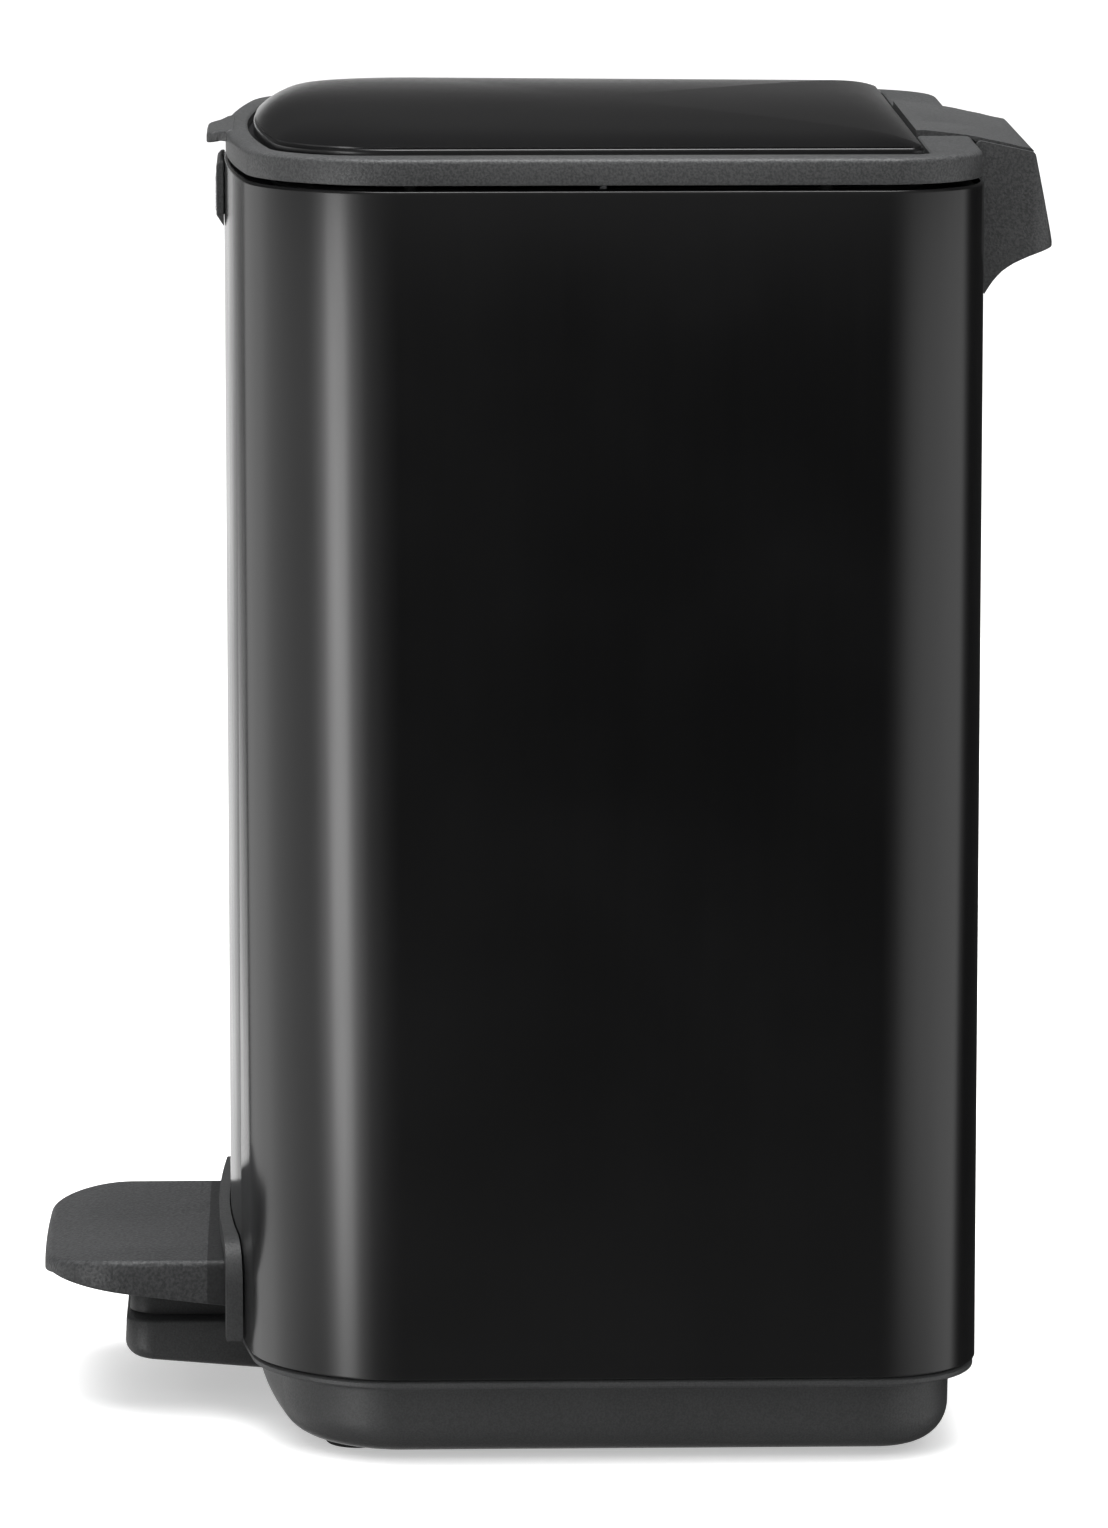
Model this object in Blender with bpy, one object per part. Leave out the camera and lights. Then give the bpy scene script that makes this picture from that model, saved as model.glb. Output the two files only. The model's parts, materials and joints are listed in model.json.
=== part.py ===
"""A pedal trash can: a steel-wrapped bin with a hinged lid, a foot pedal, a push rod and a lift-out bucket.

The pedal is in front, towards -Y, the carrying handle and the hinge are at the rear, towards +Y, and the
floor is z = 0. Every size below is in millimetres; add_mesh() turns them into metres.
"""

import math

import bmesh
import bpy
from mathutils import Matrix, Vector

# ---------------------------------------------------------------- driving dimensions, in millimetres
HALF_WIDTH = 120.0  # the steel wrap, outside
FRONT_SIDE = -80.8  # where the front wall would meet the sides without its bow
FRONT_BOW = 13.9  # how far the middle of the front wall stands forward of that
REAR = 127.5
FRONT_RADIUS = 37.5
REAR_RADIUS = 30.5

SHELL_BOTTOM = 27.0
SHELL_TOP = 377.5
SHELL_WALL = 1.0

FIT = 0.3  # gap between pieces that touch
FRONT_MOST = FRONT_SIDE - FRONT_BOW

TUB_BOTTOM = 1.5
TUB_FLOOR = 4.3
TUB_WALL_INSET = 8.0
TUB_BOTTOM_RADIUS = 12.0
LIP_TOP = SHELL_BOTTOM - 0.4

FOOT_RADIUS = 10.0
FOOT_TOP = 2.2
FOOT_X = 84.0
FOOT_FRONT_Y = -56.0
FOOT_REAR_Y = 97.0

STOP_HALF_WIDTH = 38.0
STOP_FRONT = -126.6
STOP_BOTTOM = 10.3  # at its rear; the underside rises forwards
STOP_RISE = 0.085
STOP_LEDGE = 26.3
STOP_TOP = 32.2

SLOT_HALF_WIDTH = 63.0
SLOT_TOP = 52.3
SURROUND_HALF_WIDTH = 68.0
SURROUND_TOP = 57.0
SURROUND_PROUD = 3.5  # in the middle, and more towards its sides
SURROUND_BOW = 10.1
SURROUND_RIM = 5.5

PEDAL_TIP = -151.3
PEDAL_HALF_WIDTH = 58.0
PEDAL_BOW = 1.5  # of its front edge
PEDAL_TOP = 49.3
PEDAL_REAR = -92.0
PEDAL_WALL = 2.6
PEDAL_AXIS = (-55.0, 20.0)  # y, z
AXLE_RADIUS = 3.0
LEVER_TREAD_TOP = 44.4
LEVER_ARM_INNER = 40.0
LEVER_ARM_OUTER = 47.0
LEVER_BAR_BOTTOM = 9.0
LEVER_PAD_TOP = 31.0
LEVER_SHEET = 3.0
PEDAL_SCREW_X = 30.0
PEDAL_SCREW_Y = -138.5

ROD_Y = 118.5
ROD_HALF_WIDTH = 6.0
ROD_THICKNESS = 3.0
ROD_FOOT_Z = LEVER_PAD_TOP + FIT
ROD_HEAD_Z = 359.8

HINGE_AXIS = (143.0, 379.3)  # y, z
HINGE_PIN_RADIUS = 1.2
KNUCKLE_RADIUS = 2.6
CRANK_RADIUS = 24.0
CRANK_REST_ANGLE = -35.0

PANEL_HALF_WIDTH = 107.0
PANEL_FRONT_SIDE = -73.8
PANEL_BOW = 12.0
PANEL_REAR = 109.0
PANEL_EDGE = 388.5
PANEL_CROWN = 6.1  # of the middle, above the edge
PANEL_SLOPE = 0.7  # more than that in front, less behind
PANEL_ARCH = 2.7  # lower than that along the sides
PANEL_SHEET = 1.2

FRAME_BOTTOM = 379.0
FRAME_TOP = 386.9

HANDLE_HALF_WIDTH = 53.0
CHEEK_INNER = 50.5
COVER_HALF_WIDTH = 50.2

BADGE_HALF_WIDTH = 20.0
BADGE_FRONT = FRONT_MOST - 2.2

BUCKET_HALF_WIDTH = 108.0
BUCKET_BOTTOM = 46.0
BUCKET_REAR = 106.0
RING_BOTTOM = 366.0
RING_TOP = 375.0
RIM_BOTTOM = RING_TOP + FIT
RIM_TOP = 377.3
BAIL_Y = 16.0
BAIL_EAR_X = 110.2
BAIL_RADIUS = 1.4

HANDLE_SCREW_X = 30.0
HANDLE_SCREW_Z = 360.0

DAMPER_X = 21.0

CORNER_STEPS = 8
FRONT_STEPS = 14
CIRCLE_STEPS = 24

MM = 0.001


# ---------------------------------------------------------------- materials
def material(name, colour, roughness, metallic=0.0):
    found = bpy.data.materials.new(name)
    found.use_nodes = True
    shader = found.node_tree.nodes["Principled BSDF"]
    shader.inputs["Base Color"].default_value = (*colour, 1.0)
    shader.inputs["Roughness"].default_value = roughness
    shader.inputs["Metallic"].default_value = metallic
    return found


# ---------------------------------------------------------------- outlines, as lists of (x, y)
def arc(centre_x, centre_y, radius, start, end, steps=CORNER_STEPS):
    """Points on a circle from one angle to another, in degrees."""
    turn = [math.radians(start + (end - start) * i / steps) for i in range(steps + 1)]
    return [(centre_x + radius * math.cos(a), centre_y + radius * math.sin(a)) for a in turn]


def bowed_outline(half_width, front_side, rear, front_radius, rear_radius, bow):
    """A rounded rectangle, counter-clockwise from above, whose front half bulges towards -Y."""
    inner_front = half_width - front_radius
    inner_rear = half_width - rear_radius
    points = arc(inner_rear, rear - rear_radius, rear_radius, 0, 90)
    points += arc(-inner_rear, rear - rear_radius, rear_radius, 90, 180)
    points += arc(-inner_front, front_side + front_radius, front_radius, 180, 270)
    for step in range(1, FRONT_STEPS):
        points.append((-inner_front + 2 * inner_front * step / FRONT_STEPS, front_side))
    points += arc(inner_front, front_side + front_radius, front_radius, 270, 360)
    middle = (front_side + rear) / 2
    reach = (rear - front_side) / 2
    bowed = []
    for x, y in points:
        forward = max(0.0, (middle - y) / reach)
        bowed.append((x, y - bow * (1 - (x / half_width) ** 2) * forward))
    return bowed


def body_outline(inset):
    """The wrap's outline, moved inwards by inset, or outwards where it is negative."""
    return bowed_outline(
        HALF_WIDTH - inset,
        FRONT_SIDE + inset,
        REAR - inset,
        max(FRONT_RADIUS - inset, 4.0),
        max(REAR_RADIUS - inset, 4.0),
        FRONT_BOW,
    )


def panel_outline(inset):
    """The lid's inlay: large round front corners, a straight rear edge with small ones."""
    return bowed_outline(
        PANEL_HALF_WIDTH - inset,
        PANEL_FRONT_SIDE + inset,
        PANEL_REAR - inset,
        30.0 - inset,
        max(4.0 - inset, 1.5),
        PANEL_BOW,
    )


def bucket_outline(inset):
    return bowed_outline(
        BUCKET_HALF_WIDTH - inset,
        FRONT_SIDE + 12.0 + inset,
        BUCKET_REAR - inset,
        max(27.0 - inset, 6.0),
        max(27.0 - inset, 6.0),
        FRONT_BOW - 2.0,
    )


def level(outline, z):
    return [(x, y, z) for x, y in outline]


# ---------------------------------------------------------------- objects
def add_mesh(name, points, faces, finish=None, smooth=30.0):
    """A mesh object from points in millimetres; the build wants metres."""
    mesh = bpy.data.meshes.new(name)
    mesh.from_pydata([Vector(p) * MM for p in points], [], faces)
    obj = bpy.data.objects.new(name, mesh)
    bpy.context.scene.collection.objects.link(obj)
    fix = bmesh.new()
    fix.from_mesh(mesh)
    bmesh.ops.recalc_face_normals(fix, faces=fix.faces)
    fix.to_mesh(mesh)
    fix.free()
    mesh.shade_smooth()
    mesh.set_sharp_from_angle(angle=math.radians(smooth))
    if finish:
        mesh.materials.append(finish)
    return obj


def loft(name, loops, finish=None, ring=False, smooth=30.0):
    """Joins loops of equally many points. The ends are capped, or joined to each other in a ring."""
    count = len(loops[0])
    points = [p for loop in loops for p in loop]
    faces = []
    pairs = len(loops) if ring else len(loops) - 1
    for row in range(pairs):
        here, there = row * count, (row + 1) % len(loops) * count
        for i in range(count):
            j = (i + 1) % count
            faces.append((here + i, here + j, there + j, there + i))
    if not ring:
        faces.append(tuple(range(count)))
        faces.append(tuple(range(len(points) - count, len(points))))
    return add_mesh(name, points, faces, finish, smooth)


def slab(name, outline, z_low, z_high, finish=None):
    return loft(name, [level(outline, z_low), level(outline, z_high)], finish)


def prism_x(name, profile, x_low, x_high, finish=None, smooth=30.0):
    """A profile of (y, z) points drawn out along X."""
    return loft(name, [[(x, y, z) for y, z in profile] for x in (x_low, x_high)], finish, smooth=smooth)


def prism_y(name, profile, y_low, y_high, finish=None):
    """A profile of (x, z) points drawn out along Y."""
    return loft(name, [[(x, y, z) for x, z in profile] for y in (y_low, y_high)], finish)


def box(name, low, high, finish=None):
    corners = [(low[0], low[1]), (high[0], low[1]), (high[0], high[1]), (low[0], high[1])]
    return slab(name, corners, low[2], high[2], finish)


def rod_x(name, y, z, radius, x_low, x_high, finish=None):
    return prism_x(name, arc(y, z, radius, 0, 345, CIRCLE_STEPS - 1), x_low, x_high, finish)


def rod_y(name, x, z, radius, y_low, y_high, finish=None):
    return prism_y(name, arc(x, z, radius, 0, 345, CIRCLE_STEPS - 1), y_low, y_high, finish)


def turned_z(name, x, y, profile, finish=None):
    """A turned piece on a vertical axis, from (radius, z) points."""
    return loft(name, [level(arc(x, y, r, 0, 345, CIRCLE_STEPS - 1), z) for r, z in profile], finish)


def combine(obj, tool, operation):
    """A Boolean with a hidden tool object."""
    tool.name = obj.name + "_tool"
    tool.hide_render = True
    tool.hide_viewport = False
    tool.display_type = "WIRE"
    step = obj.modifiers.new(operation.lower(), "BOOLEAN")
    step.operation = operation
    step.solver = "EXACT"
    step.object = tool
    return obj


def cut(obj, tool):
    return combine(obj, tool, "DIFFERENCE")


def join(obj, tool):
    return combine(obj, tool, "UNION")


def add_axis(name, y, z):
    """An empty on a joint's axis, for the pieces that move with it."""
    empty = bpy.data.objects.new(name, None)
    empty.location = (0.0, y * MM, z * MM)
    empty.empty_display_size = 0.02
    bpy.context.scene.collection.objects.link(empty)
    return empty


def hang_on(axis, pieces):
    for piece in pieces:
        piece.parent = axis
        piece.matrix_parent_inverse = Matrix.Translation(-axis.location)


# ---------------------------------------------------------------- body
def make_shell(steel):
    """The wrap: one sheet all round, open at both ends, notched for the pedal."""
    outer, inner = body_outline(0), body_outline(SHELL_WALL)
    loops = [level(outer, SHELL_BOTTOM), level(outer, SHELL_TOP)]
    loops += [level(inner, SHELL_TOP), level(inner, SHELL_BOTTOM)]
    shell = loft("body_shell", loops, steel, ring=True)
    notch_low = (-SLOT_HALF_WIDTH, FRONT_MOST - 5, SHELL_BOTTOM - 5)
    cut(shell, box("notch", notch_low, (SLOT_HALF_WIDTH, FRONT_SIDE + 12, SLOT_TOP)))
    for x in (-HANDLE_SCREW_X, HANDLE_SCREW_X):
        cut(shell, rod_y("screw_hole", x, HANDLE_SCREW_Z, 2.3, REAR - 4, REAR + 2))
    return shell


def make_base(plastic):
    """The foot tub: a lip under the wrap, a collar inside it, and an inset bowl with a round bottom edge."""
    bend = []
    for step in range(7):
        turn = math.radians(90.0 * step / 6)
        inset = TUB_WALL_INSET + TUB_BOTTOM_RADIUS * (1 - math.cos(turn))
        bend.append((inset, TUB_BOTTOM + TUB_BOTTOM_RADIUS * (1 - math.sin(turn))))
    outside = [(1.7, LIP_TOP + 7), (1.7, LIP_TOP), (0.6, LIP_TOP), (0.6, 24.8), (1.4, 24.0)]
    outside += [(TUB_WALL_INSET - 1.2, 23.6), (TUB_WALL_INSET - 0.4, 22.5)] + bend
    inside = [(TUB_WALL_INSET + 11.0, TUB_FLOOR), (TUB_WALL_INSET + 5.5, TUB_FLOOR + 2.6)]
    inside += [(TUB_WALL_INSET + 2.6, 12.0), (TUB_WALL_INSET + 2.6, 23.6), (TUB_WALL_INSET + 1.2, 25.6)]
    inside += [(4.0, 26.2), (4.0, LIP_TOP + 7)]
    rows = outside + inside
    loops = [level(body_outline(inset), z) for inset, z in rows]
    count = len(loops[0])
    points = [p for loop in loops for p in loop]
    faces = []
    floor_outer = len(outside) - 1
    for row in range(len(loops)):
        if row == floor_outer:
            continue
        here, there = row * count, (row + 1) % len(loops) * count
        for i in range(count):
            j = (i + 1) % count
            faces.append((here + i, here + j, there + j, there + i))
    for row in (floor_outer, floor_outer + 1):
        faces.append(tuple(range(row * count, (row + 1) * count)))
    base = add_mesh("base_moulding", points, faces, plastic)

    opening_low = (-SLOT_HALF_WIDTH, FRONT_MOST - 5, LIP_TOP - 0.01)
    cut(base, box("front_gap", opening_low, (SLOT_HALF_WIDTH, FRONT_SIDE + 14, LIP_TOP + 20)))
    join(base, stop_block(STOP_HALF_WIDTH, STOP_FRONT, STOP_BOTTOM, STOP_LEDGE, 9.0, True))
    neck_half = STOP_HALF_WIDTH - 9.0
    join(base, stop_block(neck_half, STOP_FRONT + 1.2, STOP_LEDGE - 3.0, STOP_TOP, 7.0, False))
    for x in (-FOOT_X, FOOT_X):
        for y in (FOOT_FRONT_Y, FOOT_REAR_Y):
            pocket = [(FOOT_RADIUS + 0.4, -2.0), (FOOT_RADIUS + 0.4, FOOT_TOP + FIT)]
            cut(base, turned_z("pocket", x, y, pocket))
    for x in (-53.0, 53.0):
        hole = [(2.2, -2.0), (2.2, TUB_FLOOR + 2)]
        cut(base, turned_z("screw_hole", x, PEDAL_AXIS[0], hole))
    return base


def stop_block(half_width, front, z_low, z_high, corner, low_edge):
    """A block under the pedal, with round front corners and, where asked for, a round lower edge."""
    rear = FRONT_MOST + TUB_WALL_INSET + 4.8

    def plan(inset):
        left = arc(-half_width + corner, front + corner, corner - inset, 180, 270, 5)
        right = arc(half_width - corner, front + corner, corner - inset, 270, 360, 5)
        return left + right + [(half_width - inset, rear), (-half_width + inset, rear)]

    low_rows = [(0.0, z_low)]
    if low_edge:
        low_rows = [(4.0, z_low), (1.4, z_low + 1.0), (0.3, z_low + 3.0), (0.0, z_low + 5.0)]
    loops = [[(x, y, z + STOP_RISE * (rear - y)) for x, y in plan(inset)] for inset, z in low_rows]
    loops += [level(plan(inset), z) for inset, z in ((0.6, z_high - 0.8), (1.6, z_high))]
    return loft("stop", loops)


def make_surround(plastic):
    """A thin arch on the wrap's front, open below, whose face is flatter than the wall behind it."""
    outer = arch(SURROUND_HALF_WIDTH, SURROUND_TOP, 13.0)
    inner = arch(SURROUND_HALF_WIDTH - SURROUND_RIM, SURROUND_TOP - SURROUND_RIM, 7.5)
    low = LIP_TOP + FIT
    profile = [(-SURROUND_HALF_WIDTH, low)] + outer + [(SURROUND_HALF_WIDTH, low)]
    profile += [(SURROUND_HALF_WIDTH - SURROUND_RIM, low)] + inner[::-1]
    profile += [(-SURROUND_HALF_WIDTH + SURROUND_RIM, low)]
    piece = prism_y("pedal_surround", profile, FRONT_MOST - 12, FRONT_SIDE + 20, plastic)
    face = FRONT_MOST - SURROUND_PROUD + SURROUND_BOW
    limit = bowed_outline(HALF_WIDTH + 10, face, REAR, 40.0, 40.0, SURROUND_BOW)
    combine(piece, slab("limit", limit, 0, 90), "INTERSECT")
    return cut(piece, slab("wall", body_outline(-FIT), -5, 95))


def arch(half_width, top, corner):
    """The upper half of a rounded rectangle, from its left foot to its right one, as (x, z)."""
    left = arc(-half_width + corner, top - corner, corner, 180, 90, 6)
    right = arc(half_width - corner, top - corner, corner, 90, 0, 6)
    return left + right


def make_feet(rubber):
    sides = (("left", -FOOT_X), ("right", FOOT_X))
    for end, y in (("front", FOOT_FRONT_Y), ("rear", FOOT_REAR_Y)):
        for side, x in sides:
            profile = [(FOOT_RADIUS - 0.6, 0.0), (FOOT_RADIUS, 0.6), (FOOT_RADIUS, FOOT_TOP)]
            turned_z(f"foot_{end}_{side}", x, y, profile, rubber)


def make_ring(plastic):
    """The ring inside the wrap's top edge: the bucket's rim rests on it, and the rod rises through its notch."""
    outer = body_outline(SHELL_WALL + FIT)
    inner = bucket_outline(-0.8)
    loops = [level(outer, RING_BOTTOM), level(outer, RING_TOP)]
    loops += [level(inner, RING_TOP), level(inner, RING_BOTTOM)]
    ring = loft("top_ring", loops, plastic, ring=True)
    notch_low = (-10.0, ROD_Y - 4.0, RING_BOTTOM - 5)
    return cut(ring, box("notch", notch_low, (10.0, REAR + 5, RING_TOP + 5)))


def make_handle(plastic):
    """The grip behind the wrap: hollow from below, with two cheeks and knuckles for the hinge pin on top."""
    side = [(127.8, 349.0), (127.8, 383.0), (128.8, 385.4), (145.8, 381.9), (151.3, 354.2)]
    side += [(146.5, 352.2), (141.5, 350.2), (137.5, 348.0), (134.6, 345.5), (132.4, 342.7)]
    side += [(130.8, 340.1), (130.2, 341.6)]
    handle = prism_x("rear_handle", side, -HANDLE_HALF_WIDTH, HANDLE_HALF_WIDTH, plastic, smooth=25.0)
    trough_low = (-CHEEK_INNER, 127.0, HINGE_AXIS[1] - 5.1)
    cut(handle, box("trough", trough_low, (CHEEK_INNER, 153.0, 395.0)))
    hollow = [(131.3, 338.0), (131.3, 371.2), (144.4, 371.2), (148.2, 354.0), (148.8, 338.0)]
    cut(handle, prism_x("hollow", hollow, -HANDLE_HALF_WIDTH + 4.5, HANDLE_HALF_WIDTH - 4.5))
    y, z = HINGE_AXIS
    for x in (-44.0, 30.0):
        web = [(y - 2.0, z - 7.0), (y + 1.5, z - 7.0), (y + 1.5, z), (y - 2.0, z)]
        join(handle, prism_x("web", web, x + 1, x + 13))
        join(handle, rod_x("knuckle", y, z, KNUCKLE_RADIUS, x, x + 14))
    cut(handle, rod_x("pin_bore", y, z, HINGE_PIN_RADIUS + FIT, -60, 60))
    for x in (-HANDLE_SCREW_X, HANDLE_SCREW_X):
        cut(handle, rod_y("screw_hole", x, HANDLE_SCREW_Z, 2.3, 126, 133))
    return handle


def make_handle_screws(steel):
    seat = REAR - SHELL_WALL - FIT
    rows = [(4.2, REAR - 3.4), (4.2, seat), (2.0, seat), (2.0, 134.5), (1.2, 135.5)]
    for side, x in (("left", -HANDLE_SCREW_X), ("right", HANDLE_SCREW_X)):
        loops = []
        for radius, y in rows:
            circle = arc(x, HANDLE_SCREW_Z, radius, 0, 345, CIRCLE_STEPS - 1)
            loops.append([(px, y, pz) for px, pz in circle])
        loft(f"handle_screw_{side}", loops, steel)


def make_badge(plastic, bright):
    """A small holder on the front wall, with a blank plate let into its face."""
    side = [(BADGE_FRONT, 361.0), (BADGE_FRONT, 375.7), (BADGE_FRONT + 1.2, 377.0), (-90.0, 377.0)]
    side += [(-90.0, 357.3), (BADGE_FRONT + 2.4, 357.3)]
    holder = prism_x("badge_holder", side, -BADGE_HALF_WIDTH, BADGE_HALF_WIDTH, plastic)
    cut(holder, slab("wall", body_outline(-FIT), 300, 400))
    cut(holder, box("recess", (-17.3, BADGE_FRONT - 2, 361.7), (17.3, BADGE_FRONT + 0.9, 372.3)))
    box("badge_plate", (-17.0, BADGE_FRONT - 0.3, 362.0), (17.0, BADGE_FRONT + 0.6, 372.0), bright)


def make_bucket(plastic, steel):
    """The lift-out bucket with its turned-out rim, and the wire bail folded forward on the rim."""
    outside = [(9.5, BUCKET_BOTTOM), (8.2, BUCKET_BOTTOM + 2.5), (7.6, BUCKET_BOTTOM + 7), (0.0, RIM_BOTTOM)]
    outside += [(-4.4, RIM_BOTTOM), (-4.4, RIM_TOP)]
    inside = [(1.8, RIM_TOP), (9.4, BUCKET_BOTTOM + 8)]
    inside += [(10.2, BUCKET_BOTTOM + 3.6), (11.6, BUCKET_BOTTOM + 2.2)]
    loops = [level(bucket_outline(inset), z) for inset, z in outside + inside]
    bucket = loft("inner_bucket", loops, plastic)
    for x in (-BAIL_EAR_X, BAIL_EAR_X):
        cut(bucket, turned_z("bail_hole", x, BAIL_Y, [(1.9, RIM_BOTTOM - 3), (1.9, RIM_TOP + 3)]))
    make_bail(steel)
    return bucket


def make_bail(steel):
    """The wire: up out of one side of the rim, round the front, and down into the other side."""
    track = [p for p in bucket_outline(-2.2) if p[1] < BAIL_Y - 6]
    lying = RIM_TOP + FIT + BAIL_RADIUS + 0.2
    ear = [(BAIL_Y, RIM_BOTTOM + 0.4), (BAIL_Y - 0.4, lying - 1.0), (BAIL_Y - 2.0, lying)]
    route = [(-BAIL_EAR_X, y, z) for y, z in ear]
    route += [(x, y, lying) for x, y in track]
    route += [(BAIL_EAR_X, y, z) for y, z in ear[::-1]]
    wire = bpy.data.curves.new("bucket_bail", "CURVE")
    wire.dimensions = "3D"
    wire.bevel_depth = BAIL_RADIUS * MM
    wire.bevel_resolution = 2
    wire.use_fill_caps = True
    line = wire.splines.new("POLY")
    line.points.add(len(route) - 1)
    for point, place in zip(line.points, route):
        point.co = (*(Vector(place) * MM), 1.0)
    wire.materials.append(steel)
    bail = bpy.data.objects.new("bucket_bail", wire)
    bpy.context.scene.collection.objects.link(bail)


def make_rod_guides(plastic):
    """Two U-shaped guides on the wrap's rear wall, open towards the bucket only by the rod's width."""
    gap = 0.5
    for name, z in (("rod_guide_lower", 80.0), ("rod_guide_upper", 320.0)):
        guide = box(name, (-12.0, ROD_Y - 4.5, z), (12.0, REAR - SHELL_WALL - FIT, z + 14.0), plastic)
        low = (-ROD_HALF_WIDTH - gap, ROD_Y - ROD_THICKNESS / 2 - gap, z - 5)
        cut(guide, box("way", low, (ROD_HALF_WIDTH + gap, ROD_Y + ROD_THICKNESS / 2 + gap, z + 20)))


def make_damper(plastic, steel):
    """A small cylinder on the rear wall, beside the rod, and the plunger that the rod carries."""
    x, y = DAMPER_X, ROD_Y
    cylinder = turned_z("damper_cylinder", x, y, [(5.6, 150.0), (5.6, 205.0)], plastic)
    cut(cylinder, turned_z("bore", x, y, [(2.4, 158.0), (2.4, 210.0)]))
    flange = box("flange", (x - 8, y + 3.0, 168.0), (x + 8, REAR - SHELL_WALL - FIT, 190.0))
    join(cylinder, flange)
    plunger = turned_z("damper_plunger", x, y, [(1.9, 166.0), (1.9, 238.0)], steel)
    arm = box("arm", (ROD_HALF_WIDTH + FIT, y - 1.2, 232.0), (x + 3.0, y + 1.2, 240.0))
    return join(plunger, arm)


def make_rod(steel):
    """The flat push rod: a round foot on the pedal's lever, and a head plate under the lid's crank."""
    half = ROD_THICKNESS / 2
    low, high = ROD_FOOT_Z + 5.0, ROD_HEAD_Z + 1.0
    rod = box("push_rod", (-ROD_HALF_WIDTH, ROD_Y - half, low), (ROD_HALF_WIDTH, ROD_Y + half, high), steel)
    join(rod, rod_x("foot", ROD_Y, ROD_FOOT_Z + 5.0, 5.0, -7.0, 7.0))
    head = box("head", (-7.0, ROD_Y - 2.5, ROD_HEAD_Z), (7.0, REAR - SHELL_WALL - FIT, ROD_HEAD_Z + 3.0))
    return join(rod, head)


# ---------------------------------------------------------------- pedal
def pedal_plan(inset):
    """The tread from above: straight sides, round front corners and a slightly curved front edge."""
    half, front, corner = PEDAL_HALF_WIDTH - inset, PEDAL_TIP + PEDAL_BOW + inset, 24.0 - inset
    points = [(half, PEDAL_REAR - inset * 0.3)]
    points += [(-half, PEDAL_REAR - inset * 0.3)]
    points += [(-half, front + 45.0), (-half, front + 33.0)]
    points += arc(-half + corner, front + corner, corner, 180, 270, 7)
    for step in range(1, 6):
        points.append((-half + corner + 2 * (half - corner) * step / 6, front))
    points += arc(half - corner, front + corner, corner, 270, 360, 7)
    points += [(half, front + 33.0), (half, front + 45.0)]
    return [(x, y - PEDAL_BOW * (1 - (x / half) ** 2) * (y < front + 33.0)) for x, y in points]


def pedal_skirt(y):
    """The height of the tread's lower edge: deepest at the wall, thinnest at the tip."""
    along = (y - PEDAL_TIP) / (PEDAL_REAR - PEDAL_TIP)
    return 43.2 - 8.4 * along ** 0.8


def pedal_top(y):
    """The top face is level, and turns down a little towards the tip."""
    ahead = max(0.0, (PEDAL_TIP + 26.0 - y) / 26.0)
    return PEDAL_TOP - 3.0 * ahead ** 2


def make_pedal(plastic):
    outer = [[(x, y, pedal_skirt(max(y, PEDAL_TIP))) for x, y in pedal_plan(0.8)]]
    for inset, drop in ((0.0, 4.5), (0.3, 2.2), (1.4, 0.7), (3.2, 0.0)):
        outer.append([(x, y, pedal_top(y) - drop) for x, y in pedal_plan(inset)])
    wall = PEDAL_WALL
    inner = [[(x, y, pedal_top(y) - wall) for x, y in pedal_plan(wall + 2.4)]]
    inner.append([(x, y, pedal_top(y) - wall - 1.2) for x, y in pedal_plan(wall + 0.6)])
    inner.append([(x, y, pedal_skirt(max(y, PEDAL_TIP))) for x, y in pedal_plan(wall)])
    cover = loft("pedal_cover", inner + outer, plastic)
    half = PEDAL_HALF_WIDTH - PEDAL_WALL - 0.6
    open_low, open_high = (-half, PEDAL_REAR - 6, 20.0), (half, PEDAL_REAR + 6, PEDAL_TOP - 4.0)
    return cut(cover, box("open_rear", open_low, open_high))


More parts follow.
